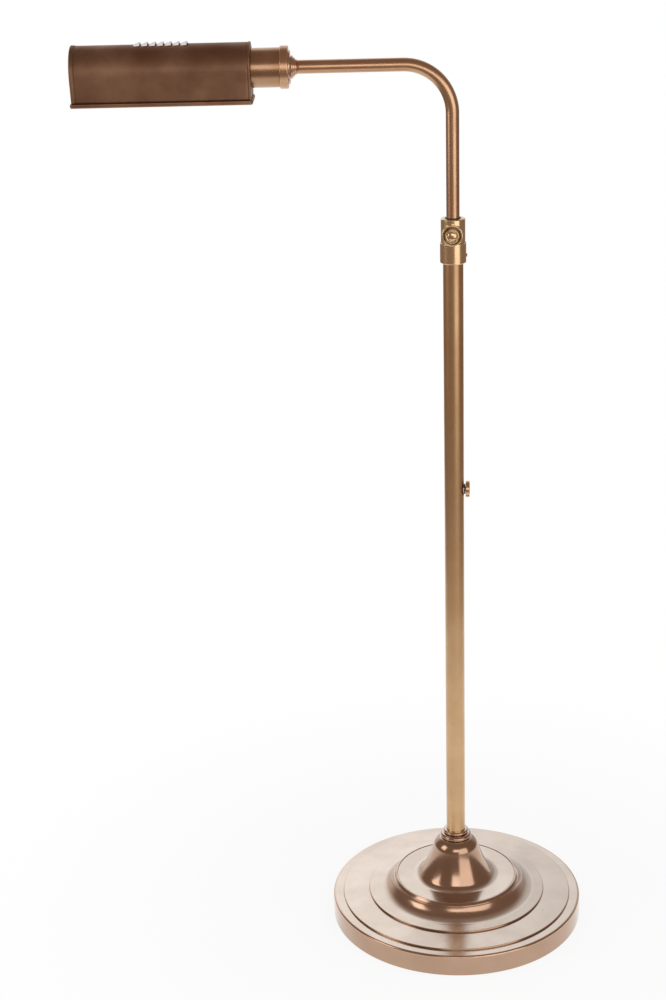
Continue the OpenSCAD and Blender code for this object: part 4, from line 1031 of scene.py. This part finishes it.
class LAMP_OT_shade_hem(bpy.types.Operator):
    """Rolled hem: each point of a rounded section, at its depth from the outer face, runs round a rectangle
    that is smaller by that depth and has corners tighter by it"""

    bl_idname = "lamp.shade_hem"
    bl_label = "Shade hem"

    def execute(self, context):
        size = context.scene.lamp_shade
        foot, top = span("shade_hem", "z")
        (far, near), half = span("shade_hem", "x"), high("shade_hem", "y")
        middle, reach = (near + far) / 2, (near - far) / 2
        roll = size.hem_roll
        section, marks = rounded([(0, foot, roll), (size.hem_w, foot, roll), (size.hem_w, top, 0.4 * MM),
                                  (0, top, 0.5 * MM)], steps=6)
        depth, height = section[:, :1], section[:, 1:]
        turn = np.linspace(0, np.pi / 2, 12)
        angle = np.concatenate([turn + quarter * np.pi / 2 for quarter in range(4)])
        side_x = np.repeat([1, -1, -1, 1], len(turn))
        side_y = np.repeat([1, 1, -1, -1], len(turn))
        corner = size.hem_w + 0.2 * MM
        x = middle + side_x * (reach - corner) + (corner - depth) * np.cos(angle)
        y = side_y * (half - corner) + (corner - depth) * np.sin(angle)
        points = np.dstack([x, y, np.broadcast_to(height, x.shape)]).reshape(-1, 3)
        shape = (points, grid_faces(len(section), len(angle), True, True), np.repeat(marks, len(angle)))
        piece("shade_hem_rolled", shape, finish("shade"), "head", ["shade_hem"])
        return {"FINISHED"}


class LAMP_OT_bulb(bpy.types.Operator):
    """Opal bulb and lampholder body, turned about the arm's axis"""

    bl_idname = "lamp.bulb"
    bl_label = "Bulb and lampholder"

    def execute(self, context):
        size = context.scene.lamp_shade
        start, end = arm_span("bulb_glass")
        neck = -low("bulb_cap", "x") + size.neck_h
        swell = neck + size.swell_h
        wall, glass = size.glass_wall, size.glass_r
        crown = (0, end - glass)
        rows = [
            (size.glass_neck, start, 0), (size.glass_neck, neck, 6 * MM), (glass, swell, 8 * MM),
            arc(crown, glass, 0, 90, 20), arc(crown, glass - wall, 90, 0, 20), (glass - wall, swell, 7 * MM),
            (size.glass_neck - wall, neck, 6 * MM), (size.glass_neck - wall, start, 0)]
        turned_piece("bulb_opal", ALONG_ARM, rows, "opal", "head", "bulb_glass", turns=72)
        back, mouth = arm_span("holder_body")
        rim, barrel, bore = high("holder_body", "y"), size.holder_r, size.holder_bore
        step, floor = back + size.holder_rim, back + size.holder_floor
        rows = [
            (size.contact_bore, back, 0), (rim, back, 0.3 * MM), (rim, step, 0.5 * MM),
            (barrel, step, 0.5 * MM), (barrel, mouth, 0.8 * MM), (bore, mouth, 0.5 * MM),
            (bore, floor, 0.5 * MM), (size.contact_bore, floor, 0)]
        turned_piece("lampholder_body", ALONG_ARM, rows, "porcelain", "head", "holder_body")
        return {"FINISHED"}


class LAMP_OT_inner_parts(bpy.types.Operator):
    """Gives the fittings that keep their own solids the finish of their material slot"""

    bl_idname = "lamp.inner_parts"
    bl_label = "Inner parts"

    FINISH_OF_SLOT = {
        "plain_brass": "turned", "cast_iron": "iron", "plated_steel": "steel", "dark_steel": "dark_steel",
        "black_plastic": "black", "nylon": "nylon", "cap_metal": "steel"}

    def execute(self, context):
        slots = {part["node"]: part["material_slot"] for part in frame["record"]["subparts"]}
        for node, made in frame["nodes"].items():
            if not made.hide_render:
                made.data.materials.clear()
                made.data.materials.append(finish(self.FINISH_OF_SLOT[slots[node]]))
        return {"FINISHED"}


def at_bearing(turn, distance, height):
    """A point at a level distance from the pole, turned to the right of straight ahead."""
    return Vector((distance * math.sin(turn), -distance * math.cos(turn), height))


def softbox(name, turn, distance, height, wide, tall, radiance):
    """A soft rectangular lamp at a bearing that faces the pole; its power is radiance times pi times area."""
    lamp = bpy.data.lights.new(name, "AREA")
    lamp.shape = "RECTANGLE"
    lamp.size, lamp.size_y = wide, tall
    lamp.energy = radiance * math.pi * wide * tall
    made = bpy.data.objects.new(name, lamp)
    bpy.context.scene.collection.objects.link(made)
    made.location = at_bearing(turn, distance, height)
    aim = Vector((0, 0, height)) - made.location
    made.rotation_euler = aim.to_track_quat("-Z", "Y").to_euler()
    made.visible_camera = False


def light_seen(path):
    """1 on rays that show the backdrop: straight to the camera, mirrored by metal, or through glass."""
    mirrored, through = path.other("Is Glossy Ray"), path.other("Is Transmission Ray")
    return path.other("Is Camera Ray").at_least(mirrored).at_least(through)


class LAMP_OT_stage(bpy.types.Operator):
    """Camera, pale floor, dim room with a white backdrop, and soft lamps"""

    bl_idname = "lamp.stage"
    bl_label = "Stage"

    def execute(self, context):
        scene, studio = context.scene, context.scene.lamp_studio
        self.camera(scene, studio)
        self.floor(scene, studio)
        self.room(scene, studio)
        ahead = studio.bearing
        softbox("key_softbox", turn=ahead + math.radians(37), distance=2.0, height=0.95, wide=1.7, tall=1.7,
                radiance=1.35)
        softbox("front_softbox", turn=ahead, distance=2.4, height=1.5, wide=1.15, tall=1.0, radiance=1.8)
        softbox("side_softbox", turn=ahead - math.radians(70), distance=1.8, height=1.25, wide=0.8, tall=1.2,
                radiance=2.0)
        scene.view_settings.view_transform = "Standard"
        return {"FINISHED"}

    def camera(self, scene, studio):
        """A camera at its bearing, turned, tilted down and rolled a little."""
        lens = bpy.data.cameras.new("camera")
        lens.lens = studio.lens
        made = bpy.data.objects.new("camera", lens)
        scene.collection.objects.link(made)
        made.location = at_bearing(studio.bearing, studio.distance, studio.height)
        turn = Euler((math.pi / 2 - studio.pitch, 0, studio.yaw)).to_matrix()
        made.rotation_euler = (turn @ Matrix.Rotation(studio.roll, 3, "Z")).to_euler()
        scene.camera = made

    def floor(self, scene, studio):
        """A level sheet that shows white to the camera, with the lamp's shadow close to it; metal mirrors
        a pool of white round the lamp, and the dim room past it."""
        reach = studio.floor_reach
        corners = reach * np.array([[-1.0, -1, 0], [1, -1, 0], [1, 1, 0], [-1, 1, 0]])
        mesh = bpy.data.meshes.new("floor")
        mesh.from_pydata(corners.tolist(), [], [(0, 1, 2, 3)])
        made = bpy.data.objects.new("floor", mesh)
        scene.collection.objects.link(made)
        material, start, at = new_material("pale_floor")
        path = start.node("ShaderNodeLightPath")
        camera = path.other("Is Camera Ray")
        x, y, _ = at.parts()
        ahead = y.math("MINIMUM", y, 0) * (1 / studio.pool_front)
        aside = x * (1 / studio.pool_side)
        pool = 1 - ((aside * aside + ahead * ahead) ** 0.5).step(0.8, 1.2)
        far = ((x * x + y * y) ** 0.5).step(0.2, 0.7)
        colour = camera.at_least(pool).mix(rgba(studio.room), WHITE)
        plain = start.node("ShaderNodeEmission", None, {"Color": colour, "Strength": 1.0})
        lit = start.node("ShaderNodeBsdfDiffuse", None, {"Color": rgba(studio.shadow_floor)})
        clear = 1 - camera * (1 - far) * (1 - studio.floor_white)
        mixed = start.node("ShaderNodeMixShader", None, {0: light_seen(path) * clear, 1: lit, 2: plain})
        start.node("ShaderNodeOutputMaterial", None, {"Surface": mixed})
        mesh.materials.append(material)

    def room(self, scene, studio):
        """World: white to the camera, even light on dull things; metal mirrors a white backdrop behind the
        lamp, greyer to the right, and a dim warm room elsewhere."""
        world = bpy.data.worlds.new("room")
        world.use_nodes = True
        world.node_tree.nodes.clear()
        start = Wire(world.node_tree)
        path = start.node("ShaderNodeLightPath")
        way = start.node("ShaderNodeTexCoord", out="Generated")
        camera = path.other("Is Camera Ray")
        behind = way.along(at_bearing(studio.bearing, -1.0, 0.0))
        aside = way.along(at_bearing(studio.bearing + math.pi / 2, 1.0, 0.0))
        backdrop = aside.step(-0.10, 0.25).mix(WHITE, rgba(studio.backdrop))
        mirrored = behind.step(0.45, 0.8).mix(rgba(studio.room), backdrop)
        colour = camera.mix(light_seen(path).mix(rgba(studio.ambient), mirrored), WHITE)
        light = start.node("ShaderNodeBackground", None, {"Color": colour, "Strength": 1.0})
        start.node("ShaderNodeOutputWorld", None, {"Surface": light})
        scene.world = world


OPERATORS = (
    LAMP_OT_base_pan, LAMP_OT_base_bell, LAMP_OT_base_foot, LAMP_OT_neck_ring, LAMP_OT_pole,
    LAMP_OT_clamp_collar, LAMP_OT_clamp_screw, LAMP_OT_switch, LAMP_OT_arm, LAMP_OT_swivel,
    LAMP_OT_shade, LAMP_OT_shade_caps, LAMP_OT_shade_hem, LAMP_OT_bulb, LAMP_OT_inner_parts, LAMP_OT_stage)
GROUPS = {"lamp_base": BaseSizes, "lamp_stem": StemSizes, "lamp_arm": ArmSizes, "lamp_shade": ShadeSizes,
          "lamp_finishes": Finishes, "lamp_studio": Studio}


class LAMP_PT_pieces(bpy.types.Panel):
    """Lists the lamp's sizes, finishes and pieces"""

    bl_idname = "LAMP_PT_pieces"
    bl_label = "Floor lamp"
    bl_space_type = "VIEW_3D"
    bl_region_type = "UI"
    bl_category = "Lamp"

    def draw(self, context):
        for name, group in GROUPS.items():
            box = self.layout.box()
            box.label(text=group.__doc__)
            for prop in group.__annotations__:
                box.prop(getattr(context.scene, name), prop)
        for operator in OPERATORS:
            self.layout.operator(operator.bl_idname)


def register():
    """Registers the groups, the operators and the panel."""
    for group in GROUPS.values():
        bpy.utils.register_class(group)
    for name, group in GROUPS.items():
        setattr(bpy.types.Scene, name, PointerProperty(type=group))
    for shown in (*OPERATORS, LAMP_PT_pieces):
        bpy.utils.register_class(shown)


def unregister():
    """Takes the panel, the operators and the groups away again."""
    for shown in (LAMP_PT_pieces, *reversed(OPERATORS)):
        bpy.utils.unregister_class(shown)
    for name, group in reversed(GROUPS.items()):
        delattr(bpy.types.Scene, name)
        bpy.utils.unregister_class(group)


def main():
    """Builds the lamp and the stage in order."""
    register()
    for operator in OPERATORS:
        group, name = operator.bl_idname.split(".")
        getattr(getattr(bpy.ops, group), name)()


if __name__ == "__main__":
    main()
